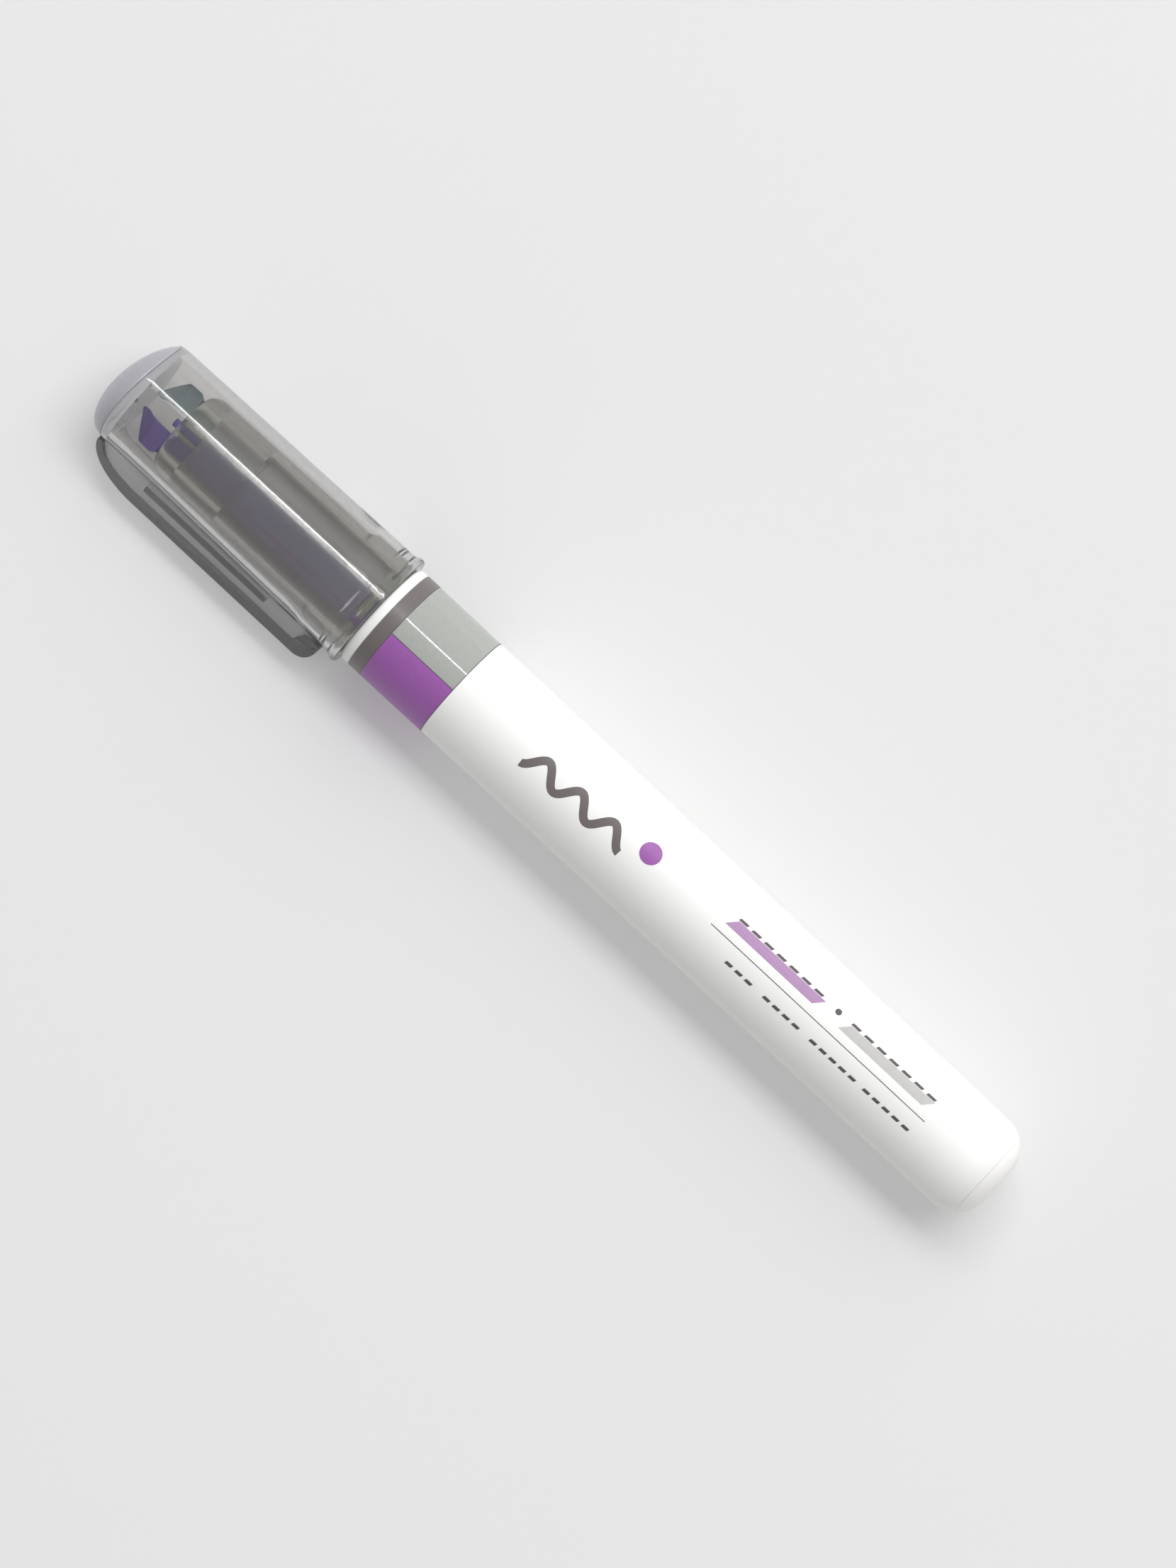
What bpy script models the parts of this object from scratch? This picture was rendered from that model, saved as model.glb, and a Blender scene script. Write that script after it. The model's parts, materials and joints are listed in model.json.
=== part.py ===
"""Capped two-colour felt marker, lying on its side with the pocket clip as an anti-roll foot.

The pen is modelled along its own axis: x is measured from the flat of the tail towards the cap,
and every piece hangs from the empty "pen", which stands the whole marker on the plane z = 0 with
the middle of its box over the origin. +X is the cap end and +Y is the clip side.
"""

import math

import bmesh
import bpy

MM = 0.001

# Lengths along the pen.
TAIL_LIP = 1.75 * MM
BARREL_LENGTH = 93.0 * MM
COLLAR_WIDTH = 1.25 * MM
CAP_LENGTH = 37.6 * MM
CROWN_HEIGHT = 2.8 * MM
CROWN_RIM = 0.2 * MM
CAP_END_WALL = 1.3 * MM
CAP_SEAT_DEPTH = 6.2 * MM
NECK_LENGTH = 10.5 * MM
NIB_BLADE = 4.6 * MM
NIB_NECK = 3.4 * MM
NIB_TAIL = 6.9 * MM
HOLDER_COLLAR = 19.0 * MM
FEED_SOCKET = 4.0 * MM
PLUG_SPIGOT = 4.8 * MM
RESERVOIR_SETBACK = 1.2 * MM

# Radii, widths and walls.
BARREL_FRONT_RADIUS = 6.78 * MM
BARREL_TAIL_RADIUS = 6.4 * MM
BARREL_WALL = 1.05 * MM
TAIL_ROUND = 4.2 * MM
TAIL_BORE = 4.6 * MM
PLUG_WALL = 0.95 * MM
CAP_TOP_RADIUS = 7.0 * MM
CAP_MOUTH_RADIUS = 7.45 * MM
CAP_WALL = 1.1 * MM
CAP_MOUTH_WALL = 0.8 * MM
CAP_LIP = 0.3 * MM
SNAP_BEAD = 0.12 * MM
FRONT_WALL = 1.0 * MM
NOSE_RADIUS = 3.9 * MM
NOSE_ROUND = 2.1 * MM
NOSE_MOUTH_RADIUS = 3.35 * MM
HOLDER_FRONT_RADIUS = 3.7 * MM
HOLDER_TONGUE_LENGTH = 3.6 * MM
HOLDER_TONGUE_WIDTH = 1.0 * MM
HOLDER_TONGUE_DEPTH = 2.4 * MM
NIB_INNER = 0.85 * MM
NIB_WIDTH = 3.55 * MM
NIB_DEPTH = 3.0 * MM
NIB_EDGE = 1.1 * MM
NIB_SLANT = 2.1 * MM
NIB_TAIL_WIDTH = 1.8 * MM
NIB_TAIL_DEPTH = 2.4 * MM
FEED_OFFSET = 2.9 * MM
FEED_WIDTH = 1.5 * MM
FEED_DEPTH = 2.2 * MM
DIVIDER = 0.6 * MM
FILM = 0.15 * MM
PEG_RADIUS = 1.4 * MM
PEG_LENGTH = 1.1 * MM

# The clip, in a plane through the pen's axis.
CLIP_REACH = 10.64 * MM
CLIP_WIDTH = 5.0 * MM
CLIP_THICKNESS = 1.45 * MM
CLIP_BEND = 7.7 * MM
CLIP_TIP_ROUND = 2.2 * MM
CLIP_TIP_SETBACK = 2.4 * MM
CLIP_PAD = 2.4 * MM
CLIP_RIB_HEIGHT = 0.8 * MM
CLIP_RIB_WIDTH = 2.0 * MM
CLIP_RIB_SETBACK = 8.5 * MM
TONGUE_WIDTH = 3.6 * MM
TONGUE_THICKNESS = 0.8 * MM
TONGUE_LENGTH = 2.5 * MM

# Clearances.
PARTING = 0.1 * MM
FIT = 0.05 * MM
SLIDE_FIT = 0.1 * MM
CAP_AIR = 0.35 * MM
NIB_AIR = 0.5 * MM
FLEX_ROOM = 0.3 * MM
PAD_REST = 0.08 * MM

CROWN_LEAN = 0.14
SEGMENTS = 48
ARC_STEPS = 6
DOME_STEPS = 9

# Stations along the pen, from the tail.
barrel_rear = TAIL_LIP + PARTING
barrel_front = barrel_rear + BARREL_LENGTH
collar_rear = barrel_front + PARTING
collar_front = collar_rear + COLLAR_WIDTH
cap_mouth = collar_front + PARTING
cap_top = cap_mouth + CAP_LENGTH
crown_base = cap_top + PARTING
cap_floor = cap_top - CAP_END_WALL
cap_step = cap_mouth + CAP_SEAT_DEPTH
nib_tip = cap_floor - NIB_AIR
blade_back = nib_tip - NIB_BLADE
neck_back = blade_back - NIB_NECK
tail_back = neck_back - NIB_TAIL
nose_front = blade_back - 4 * FIT
neck_rear = barrel_front - NECK_LENGTH
holder_front = neck_back
holder_step = tail_back - PARTING
holder_rear = holder_step - HOLDER_COLLAR
socket_floor = neck_rear - PARTING
reservoir_front = neck_rear - RESERVOIR_SETBACK
reservoir_rear = barrel_rear + PLUG_SPIGOT + RESERVOIR_SETBACK
feed_rear = reservoir_front - FEED_SOCKET

# Radii that follow from the ones above.
barrel_bore = BARREL_TAIL_RADIUS - BARREL_WALL
socket_radius = BARREL_FRONT_RADIUS - BARREL_WALL
neck_radius = socket_radius - FIT
seat_bore = CAP_MOUTH_RADIUS - CAP_MOUTH_WALL
seat_radius = seat_bore - SNAP_BEAD - SLIDE_FIT
front_bore = neck_radius - FRONT_WALL
holder_radius = front_bore - FIT
holder_bore = HOLDER_FRONT_RADIUS + FIT
film_radius = barrel_bore - SLIDE_FIT
reservoir_radius = film_radius - FILM - FIT

# The clip's lower edge reaches the plane that the widest part of the cap rests on.
lip_radius = CAP_MOUTH_RADIUS + CAP_LIP
rest_radius = max(lip_radius, CAP_TOP_RADIUS)
corner_reach = math.hypot(CLIP_REACH, CLIP_WIDTH / 2)
corner_angle = math.atan2(CLIP_WIDTH / 2, CLIP_REACH)
clip_tilt = math.asin(min(rest_radius / corner_reach, 1.0)) - corner_angle
clip_spread = CLIP_REACH * math.cos(clip_tilt) + CLIP_WIDTH / 2 * math.sin(clip_tilt)
tongue_middle = cap_top - TONGUE_THICKNESS / 2 + PARTING
hinge_radius = CAP_TOP_RADIUS - TONGUE_LENGTH / 2


def cap_radius(x):
    """Outer radius of the tapered cap tube."""
    rise = (x - cap_mouth) / CAP_LENGTH
    return CAP_MOUTH_RADIUS + (CAP_TOP_RADIUS - CAP_MOUTH_RADIUS) * rise


def barrel_radius(x):
    """Outer radius of the tapered barrel, which is rounded over at the tail."""
    share = (x - TAIL_ROUND) / (barrel_front - TAIL_ROUND)
    if share >= 0:
        return BARREL_TAIL_RADIUS + (BARREL_FRONT_RADIUS - BARREL_TAIL_RADIUS) * share
    inward = TAIL_ROUND - x
    return BARREL_TAIL_RADIUS - TAIL_ROUND + math.sqrt(max(TAIL_ROUND**2 - inward**2, 0.0))


def arc(centre, radii, start, end, steps=ARC_STEPS):
    """Points on an elliptical arc, with its angles in degrees."""
    points = []
    for step in range(steps + 1):
        angle = math.radians(start + (end - start) * step / steps)
        across = centre[0] + radii[0] * math.cos(angle)
        up = centre[1] + radii[1] * math.sin(angle)
        points.append((across, up))
    return points


def clear_scene():
    for obj in list(bpy.data.objects):
        bpy.data.objects.remove(obj, do_unlink=True)


def moulded(name, colour, roughness, transmission=0.0):
    """A plastic or fibre finish; transmission above zero makes a see-through plastic."""
    material = bpy.data.materials.new(name)
    material.use_nodes = True
    shader = material.node_tree.nodes["Principled BSDF"]
    shader.inputs["Base Color"].default_value = (*colour, 1.0)
    shader.inputs["Roughness"].default_value = roughness
    shader.inputs["Metallic"].default_value = 0.0
    shader.inputs["Transmission Weight"].default_value = transmission
    return material


def solid(name, shape, material, parent):
    """Turns a bmesh into a named object under its parent."""
    bmesh.ops.remove_doubles(shape, verts=shape.verts, dist=1e-6)
    bmesh.ops.recalc_face_normals(shape, faces=shape.faces)
    mesh = bpy.data.meshes.new(name)
    shape.to_mesh(mesh)
    shape.free()
    mesh.shade_smooth()
    mesh.set_sharp_from_angle(angle=math.radians(35))
    obj = bpy.data.objects.new(name, mesh)
    bpy.context.scene.collection.objects.link(obj)
    obj.parent = parent
    if material:
        mesh.materials.append(material)
    return obj


def turned(outline):
    """Spins an (x, radius) outline round the pen's axis; one that leaves the axis is a ring."""
    shape = bmesh.new()
    points = [shape.verts.new((x, 0.0, radius)) for x, radius in outline]
    edges = [shape.edges.new(pair) for pair in zip(points, points[1:])]
    if outline[0][1] > 0:
        edges.append(shape.edges.new((points[-1], points[0])))
    bmesh.ops.spin(
        shape,
        geom=points + edges,
        cent=(0.0, 0.0, 0.0),
        axis=(1.0, 0.0, 0.0),
        angle=math.tau,
        steps=SEGMENTS,
        use_merge=True,
    )
    return shape


def extruded(outline, place, along):
    """Extrudes a flat outline; place turns each of its points into x, y, z."""
    shape = bmesh.new()
    face = shape.faces.new([shape.verts.new(place(*point)) for point in outline])
    grown = bmesh.ops.extrude_face_region(shape, geom=[face])["geom"]
    moved = [item for item in grown if isinstance(item, bmesh.types.BMVert)]
    bmesh.ops.translate(shape, verts=moved, vec=along)
    return shape


def block(low, high):
    """A box between two corners."""
    outline = [(low[1], low[2]), (high[1], low[2]), (high[1], high[2]), (low[1], high[2])]
    return extruded(outline, lambda y, z: (low[0], y, z), (high[0] - low[0], 0.0, 0.0))


def combine(obj, tool, operation):
    """Boolean of a helper solid into a piece; the helper itself is never a piece."""
    tool.hide_render = True
    tool.display_type = "WIRE"
    modifier = obj.modifiers.new(operation.lower(), "BOOLEAN")
    modifier.operation = operation
    modifier.solver = "EXACT"
    modifier.object = tool


def half_round(radius, flat):
    """Outline across the pen of a half-round bar whose flat side stands off the middle plane."""
    start = math.degrees(math.asin(flat / radius))
    return [(up, across) for across, up in arc((0.0, 0.0), (radius, radius), start, 180 - start, 16)]


def make_empty(name, location, parent):
    empty = bpy.data.objects.new(name, None)
    bpy.context.scene.collection.objects.link(empty)
    empty.empty_display_size = 0.01
    empty.location = location
    empty.parent = parent
    return empty


def make_barrel(pen, white):
    outline = [(barrel_rear, TAIL_BORE), (barrel_rear, barrel_radius(barrel_rear))]
    for step in range(1, ARC_STEPS):
        x = barrel_rear + (TAIL_ROUND - barrel_rear) * step / ARC_STEPS
        outline.append((x, barrel_radius(x)))
    outline += [
        (TAIL_ROUND, BARREL_TAIL_RADIUS),
        (barrel_front, BARREL_FRONT_RADIUS),
        (barrel_front, socket_radius),
        (socket_floor, socket_radius),
        (socket_floor, barrel_bore),
        (barrel_rear + PLUG_SPIGOT + PARTING, barrel_bore),
        (barrel_rear + PLUG_SPIGOT, TAIL_BORE),
    ]
    solid("barrel", turned(outline), white, pen)


def make_tail_plug(pen, white):
    spigot = TAIL_BORE - FIT
    end = barrel_rear + PLUG_SPIGOT
    outline = [(0.0, 0.0), (0.0, barrel_radius(0.0))]
    for step in range(1, ARC_STEPS):
        x = TAIL_LIP * (step / ARC_STEPS) ** 2
        outline.append((x, barrel_radius(x)))
    outline += [
        (TAIL_LIP, barrel_radius(TAIL_LIP)),
        (TAIL_LIP, spigot),
        (end - 4 * FIT, spigot),
        (end, spigot - 4 * FIT),
        (end, spigot - PLUG_WALL),
        (TAIL_LIP, spigot - PLUG_WALL),
        (TAIL_LIP, 0.0),
    ]
    solid("tail_plug", turned(outline), white, pen)


def make_collar_ring(pen, white):
    bevel = COLLAR_WIDTH / 4
    inner = neck_radius + FIT
    outline = [(collar_rear, inner), (collar_rear, BARREL_FRONT_RADIUS)]
    outline += arc(
        (collar_front - bevel, BARREL_FRONT_RADIUS - bevel), (bevel, bevel), 90, 0, ARC_STEPS // 2
    )
    outline.append((collar_front, inner))
    solid("collar_ring", turned(outline), white, pen)


def make_front_section(pen, smoke):
    seat_end = cap_step - CAP_AIR
    slim_start = cap_radius(seat_end) - CAP_WALL - CAP_AIR
    slim_end = cap_radius(nose_front) - CAP_WALL - CAP_AIR
    outline = [
        (neck_rear, front_bore),
        (neck_rear, neck_radius - 4 * FIT),
        (neck_rear + 4 * FIT, neck_radius),
        (collar_front + PARTING, neck_radius),
        (collar_front + PARTING, seat_radius),
        (seat_end, seat_radius),
        (seat_end + CAP_AIR, slim_start),
    ]
    outline += arc(
        (nose_front - NOSE_ROUND, NOSE_RADIUS), (NOSE_ROUND, slim_end - NOSE_RADIUS), 90, 0
    )
    outline += [
        (nose_front, NOSE_MOUTH_RADIUS),
        (holder_front + PARTING, NOSE_MOUTH_RADIUS),
        (holder_front + PARTING, holder_bore),
        (holder_step + PARTING, holder_bore),
        (holder_step + PARTING, front_bore),
    ]
    solid("front_section", turned(outline), smoke, pen)


def make_nib_holder(pen, smoke):
    outline = [
        (holder_rear, 0.0),
        (holder_rear, holder_radius),
        (holder_step, holder_radius),
        (holder_step, HOLDER_FRONT_RADIUS),
        (holder_front, HOLDER_FRONT_RADIUS),
        (holder_front, 0.0),
    ]
    holder = solid("nib_holder", turned(outline), smoke, pen)
    half_width = HOLDER_TONGUE_WIDTH / 2
    half_depth = HOLDER_TONGUE_DEPTH / 2
    tongue = block(
        (holder_step, -half_width, -half_depth),
        (holder_front + HOLDER_TONGUE_LENGTH, half_width, half_depth),
    )
    combine(holder, solid("holder_tongue_form", tongue, None, pen), "UNION")
    tail_mid = nib_tail_inner() + NIB_TAIL_WIDTH / 2
    for side in (1, -1):
        nib_way = channel(tail_back - FIT, nib_tip, side * tail_mid, NIB_TAIL_WIDTH, NIB_TAIL_DEPTH)
        feed_way = channel(neck_rear, tail_back, side * FEED_OFFSET, FEED_WIDTH, FEED_DEPTH)
        combine(holder, solid("nib_way_form", nib_way, None, pen), "DIFFERENCE")
        combine(holder, solid("feed_way_form", feed_way, None, pen), "DIFFERENCE")


def channel(start, end, middle, width, depth):
    """A straight square passage along the pen, a fit wider than what runs in it."""
    half_width = width / 2 + FIT
    half_depth = depth / 2 + FIT
    return block((start, middle - half_width, -half_depth), (end, middle + half_width, half_depth))


def nib_tail_inner():
    """Distance of a nib's tail from the pen's middle plane."""
    return HOLDER_TONGUE_WIDTH / 2 + 3 * SLIDE_FIT + 2 * FIT


def make_nib(name, side, felt, pen):
    """A felt chisel nib: slanted blade, tapering neck and square tail."""
    inner = NIB_INNER
    outer = NIB_INNER + NIB_WIDTH
    tail_inner = nib_tail_inner()
    tail_outer = tail_inner + NIB_TAIL_WIDTH
    chamfer = NIB_WIDTH / 8
    hollow = NIB_INNER + chamfer
    plan = [
        (tail_back, tail_inner),
        (neck_back, tail_inner),
        (blade_back, hollow),
        (nib_tip - NIB_SLANT, hollow),
        (nib_tip - chamfer * 2, inner),
        (nib_tip - chamfer / 2, inner + chamfer / 4),
        (nib_tip, inner + chamfer),
        (nib_tip - NIB_SLANT + chamfer / 2, outer - chamfer / 2),
        (nib_tip - NIB_SLANT - chamfer / 2, outer),
        (blade_back + 1.5 * chamfer, outer),
        (blade_back, outer - chamfer),
        (blade_back, tail_outer + 2 * FIT),
        (neck_back, tail_outer),
        (tail_back, tail_outer),
    ]
    half = NIB_DEPTH / 2
    shape = extruded([(x, side * y) for x, y in plan], lambda x, y: (x, y, -half), (0, 0, 2 * half))
    edge = (nib_tip, side * inner, NIB_EDGE / 2)
    back = (nib_tip - NIB_SLANT, side * outer, NIB_EDGE / 2)
    run = NIB_BLADE - NIB_SLANT
    rise = (NIB_DEPTH - NIB_EDGE) / 2
    shave(shape, edge, back, run, rise)
    thin_tail(shape)
    solid(name, shape, felt, pen)


def shave(shape, edge, back, run, rise):
    """Cuts the two slopes that meet the chisel edge, above and below the middle plane."""
    slant = (back[0] - edge[0], back[1] - edge[1])
    length = math.hypot(*slant)
    ahead = (abs(slant[1]) / length, -slant[0] / length * math.copysign(1.0, slant[1]))
    for over in (1, -1):
        normal = (rise * ahead[0], rise * ahead[1], over * run)
        cut = bmesh.ops.bisect_plane(
            shape,
            geom=shape.verts[:] + shape.edges[:] + shape.faces[:],
            plane_co=(edge[0], edge[1], over * edge[2]),
            plane_no=normal,
            clear_outer=True,
        )
        rim = [item for item in cut["geom_cut"] if isinstance(item, bmesh.types.BMEdge)]
        bmesh.ops.edgenet_fill(shape, edges=rim)


def thin_tail(shape):
    """Brings the tail down to the depth of the holder's passage; the neck slopes up from it."""
    for station in (neck_back, blade_back):
        bmesh.ops.bisect_plane(
            shape,
            geom=shape.verts[:] + shape.edges[:] + shape.faces[:],
            plane_co=(station, 0.0, 0.0),
            plane_no=(1.0, 0.0, 0.0),
        )
    for vert in shape.verts:
        if vert.co.x < neck_back + FIT:
            vert.co.z = math.copysign(NIB_TAIL_DEPTH / 2, vert.co.z)


def make_feed(name, side, fibre, pen):
    """The fibre bar that carries ink from a reservoir to the tail of its nib."""
    middle = side * FEED_OFFSET
    half_width = FEED_WIDTH / 2
    half_depth = FEED_DEPTH / 2
    shape = block(
        (feed_rear, middle - half_width, -half_depth),
        (tail_back - FIT, middle + half_width, half_depth),
    )
    solid(name, shape, fibre, pen)


def make_reservoir(name, side, fibre, pen):
    """A half-round fibre bundle with a socket for its feed."""
    flat = DIVIDER / 2 + SLIDE_FIT + FILM + FIT
    outline = [(side * y, z) for y, z in half_round(reservoir_radius, flat)]
    length = reservoir_front - reservoir_rear
    shape = extruded(outline, lambda y, z: (reservoir_rear, y, z), (length, 0.0, 0.0))
    bundle = solid(name, shape, fibre, pen)
    socket = channel(feed_rear - FIT, neck_rear, side * FEED_OFFSET, FEED_WIDTH, FEED_DEPTH)
    combine(bundle, solid(name + "_socket_form", socket, None, pen), "DIFFERENCE")


def make_film(name, side, film, pen):
    """The thin wrap round a reservoir, open at both ends."""
    flat = DIVIDER / 2 + SLIDE_FIT
    outer = [(side * y, z) for y, z in half_round(film_radius, flat)]
    inner = [(side * y, z) for y, z in half_round(film_radius - FILM, flat + FILM)]
    length = reservoir_front - reservoir_rear
    shape = bmesh.new()
    rings = []
    for x in (reservoir_rear, reservoir_rear + length):
        for outline in (outer, inner):
            rings.append([shape.verts.new((x, y, z)) for y, z in outline])
    for first, second in ((0, 2), (2, 3), (3, 1), (1, 0)):
        for index in range(len(outer)):
            following = (index + 1) % len(outer)
            shape.faces.new(
                (
                    rings[first][index],
                    rings[first][following],
                    rings[second][following],
                    rings[second][index],
                )
            )
    solid(name, shape, film, pen)


def make_divider(pen, white):
    """The strip that keeps the two inks apart, as wide as the bore."""
    half = math.sqrt(film_radius**2 - (DIVIDER / 2) ** 2)
    shape = block(
        (reservoir_rear, -DIVIDER / 2, -half),
        (reservoir_front, DIVIDER / 2, half),
    )
    solid("reservoir_divider", shape, white, pen)


def make_cap_shell(pen, hinge, smoke):
    inner_top = cap_radius(cap_floor) - CAP_WALL
    inner_step = cap_radius(cap_step) - CAP_WALL
    bead = cap_mouth + CAP_SEAT_DEPTH * 0.4
    slope = 3 * SNAP_BEAD
    corner = CAP_LIP
    outline = [
        (cap_mouth, seat_bore + corner),
        (cap_mouth, lip_radius - corner / 2),
        (cap_mouth + corner / 2, lip_radius),
        (cap_mouth + 2.2 * corner, lip_radius),
        (cap_mouth + 4 * corner, cap_radius(cap_mouth + 4 * corner)),
        (cap_top - corner / 2, cap_radius(cap_top)),
        (cap_top, cap_radius(cap_top) - corner / 2),
        (cap_top, PEG_RADIUS + FIT),
        (cap_floor, PEG_RADIUS + FIT),
    ]
    outline += arc((cap_floor - CAP_WALL / 2, inner_top - CAP_WALL / 2), (CAP_WALL / 2,) * 2, 0, 90, 3)
    outline += [
        (cap_step + CAP_AIR / 2, inner_step),
        (cap_step, seat_bore),
        (bead + slope, seat_bore),
        (bead, seat_bore - SNAP_BEAD),
        (bead - slope, seat_bore),
        (cap_mouth + corner, seat_bore),
    ]
    shell = solid("cap_shell", turned(outline), smoke, pen)
    floor = tongue_middle - TONGUE_THICKNESS / 2 - FLEX_ROOM
    combine(shell, tongue_pocket("shell_pocket_form", floor, crown_base, hinge), "DIFFERENCE")


def tongue_pocket(name, low, high, hinge):
    """The room that the clip's root tongue has between the cap's end and the crown."""
    half = TONGUE_WIDTH / 2 + FLEX_ROOM / 2
    deep = TONGUE_LENGTH / 2 + FLEX_ROOM
    shape = block(
        (low - tongue_middle, -deep, -half),
        (high - tongue_middle, CLIP_REACH - hinge_radius, half),
    )
    return solid(name, shape, None, hinge)


def make_cap_crown(pen, hinge, smoke):
    """The domed end piece, a little higher over the clip, with a peg into the cap."""
    outline = [
        (crown_base - PEG_LENGTH, 0.0),
        (crown_base - PEG_LENGTH, PEG_RADIUS),
        (crown_base, PEG_RADIUS),
        (crown_base, CAP_TOP_RADIUS),
    ]
    dome = crown_base + CROWN_RIM
    for step in range(DOME_STEPS + 1):
        angle = math.radians(90 - 90 * step / DOME_STEPS)
        height = (CROWN_HEIGHT - CROWN_RIM) * math.cos(angle) ** 1.4
        outline.append((dome + height, CAP_TOP_RADIUS * math.sin(angle)))
    shape = turned(outline)
    for vert in shape.verts:
        if vert.co.x > dome:
            towards_clip = vert.co.y * math.cos(clip_tilt) - vert.co.z * math.sin(clip_tilt)
            share = math.sqrt((vert.co.x - dome) / CROWN_HEIGHT)
            vert.co.x += CROWN_LEAN * towards_clip * share
    crown = solid("cap_crown", shape, smoke, pen)
    roof = tongue_middle + TONGUE_THICKNESS / 2 + FLEX_ROOM
    combine(crown, tongue_pocket("crown_pocket_form", cap_floor, roof, hinge), "DIFFERENCE")
    return max(vert.co.x for vert in crown.data.vertices)


def make_clip(hinge, smoke):
    """A springy pocket clip: root tongue, bend, straight blade with a rib, and a tip pad."""
    bend_start = cap_top + PARTING
    bend_end = bend_start - CLIP_BEND
    tip = cap_mouth + CLIP_TIP_SETBACK
    pad_back = tip + CLIP_PAD
    root = CAP_TOP_RADIUS + PARTING
    inner = CLIP_REACH - CLIP_THICKNESS
    pad = cap_radius(tip) + PAD_REST
    rise = CLIP_REACH - root
    outline = arc((bend_end, root), (CLIP_BEND, rise), 0, 90, 8)
    outline += arc((tip + CLIP_TIP_ROUND, CLIP_REACH - CLIP_TIP_ROUND), (CLIP_TIP_ROUND,) * 2, 90, 180)
    outline += [(tip + PARTING, pad), (pad_back - PARTING, pad), (pad_back, pad + PARTING)]
    outline += [(pad_back + CLIP_THICKNESS / 3, inner), (bend_end, inner)]
    outline += arc(
        (bend_end, root), (CLIP_BEND - TONGUE_THICKNESS, rise - CLIP_THICKNESS), 90, 0, 8
    )[1:]
    half = CLIP_WIDTH / 2
    blade = extruded(
        [(x - tongue_middle, u - hinge_radius) for x, u in outline],
        lambda x, u: (x, u, -half),
        (0.0, 0.0, CLIP_WIDTH),
    )
    clip = solid("clip", blade, smoke, hinge)
    tongue = block(
        (-TONGUE_THICKNESS / 2, -TONGUE_LENGTH / 2, -TONGUE_WIDTH / 2),
        (TONGUE_THICKNESS / 2, root + CLIP_THICKNESS / 3 - hinge_radius, TONGUE_WIDTH / 2),
    )
    combine(clip, solid("tongue_form", tongue, None, hinge), "UNION")
    rib_start = tip + CLIP_RIB_SETBACK - tongue_middle
    rib = block(
        (rib_start, inner - CLIP_RIB_HEIGHT - hinge_radius, -CLIP_RIB_WIDTH / 2),
        (bend_end - tongue_middle, inner + CLIP_THICKNESS / 3 - hinge_radius, CLIP_RIB_WIDTH / 2),
    )
    combine(clip, solid("rib_form", rib, None, hinge), "UNION")


def main():
    clear_scene()
    white = moulded("white_polypropylene", (0.9, 0.9, 0.9), 0.45)
    smoke = moulded("smoke_polypropylene", (0.30, 0.30, 0.31), 0.12, 0.8)
    lilac_smoke = moulded("lilac_smoke_polypropylene", (0.40, 0.39, 0.43), 0.12, 0.6)
    violet_felt = moulded("violet_felt", (0.09, 0.06, 0.20), 0.9)
    grey_felt = moulded("grey_felt", (0.11, 0.14, 0.15), 0.9)
    violet_fibre = moulded("violet_fibre", (0.30, 0.12, 0.42), 0.95)
    grey_fibre = moulded("grey_fibre", (0.38, 0.39, 0.38), 0.95)
    film = moulded("clear_film", (0.85, 0.86, 0.87), 0.2)

    pen = make_empty("pen", (0.0, 0.0, 0.0), None)
    hinge = make_empty("clip_hinge", (tongue_middle, 0.0, 0.0), pen)
    hinge.rotation_euler.x = -clip_tilt
    hinge.location.y = hinge_radius * math.cos(clip_tilt)
    hinge.location.z = -hinge_radius * math.sin(clip_tilt)

    make_barrel(pen, white)
    make_tail_plug(pen, white)
    make_collar_ring(pen, white)
    make_front_section(pen, smoke)
    make_nib_holder(pen, smoke)
    make_divider(pen, white)
    for side, colour, felt, fibre in (
        (1, "violet", violet_felt, violet_fibre),
        (-1, "grey", grey_felt, grey_fibre),
    ):
        make_nib(colour + "_nib", side, felt, pen)
        make_feed(colour + "_feed", side, fibre, pen)
        make_reservoir(colour + "_reservoir", side, fibre, pen)
        make_film(colour + "_reservoir_film", side, film, pen)
    make_cap_shell(pen, hinge, smoke)
    length = make_cap_crown(pen, hinge, lilac_smoke)
    make_clip(hinge, smoke)

    pen.location = (-length / 2, (rest_radius - clip_spread) / 2, rest_radius)


main()
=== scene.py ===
"""A capped two-colour felt marker lying on its side, dressed around its working model.

Laid out as a Blender add-on: the sidebar's Marker tab lists one operator for each group of pieces.
Lengths are in metres, x runs along the pen towards the cap, and +Y is the side of the pocket clip.
"""

import json
import math

import bmesh
import bpy
from mathutils import Matrix, Vector


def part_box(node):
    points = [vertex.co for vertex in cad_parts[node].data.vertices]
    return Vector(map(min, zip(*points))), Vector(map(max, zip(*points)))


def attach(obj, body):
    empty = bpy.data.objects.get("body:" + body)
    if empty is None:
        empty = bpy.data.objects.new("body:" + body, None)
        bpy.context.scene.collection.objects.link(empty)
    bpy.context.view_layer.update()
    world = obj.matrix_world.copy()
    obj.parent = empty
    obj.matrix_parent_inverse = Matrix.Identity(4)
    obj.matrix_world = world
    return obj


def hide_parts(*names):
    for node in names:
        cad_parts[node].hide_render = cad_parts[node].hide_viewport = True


bl_info = {
    "name": "Felt Marker",
    "version": (1, 0, 0),
    "blender": (4, 5, 0),
    "location": "View3D > Sidebar > Marker",
    "description": "Builds a capped two-colour felt marker piece by piece",
    "category": "Object",
}

MM = 0.001

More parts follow.
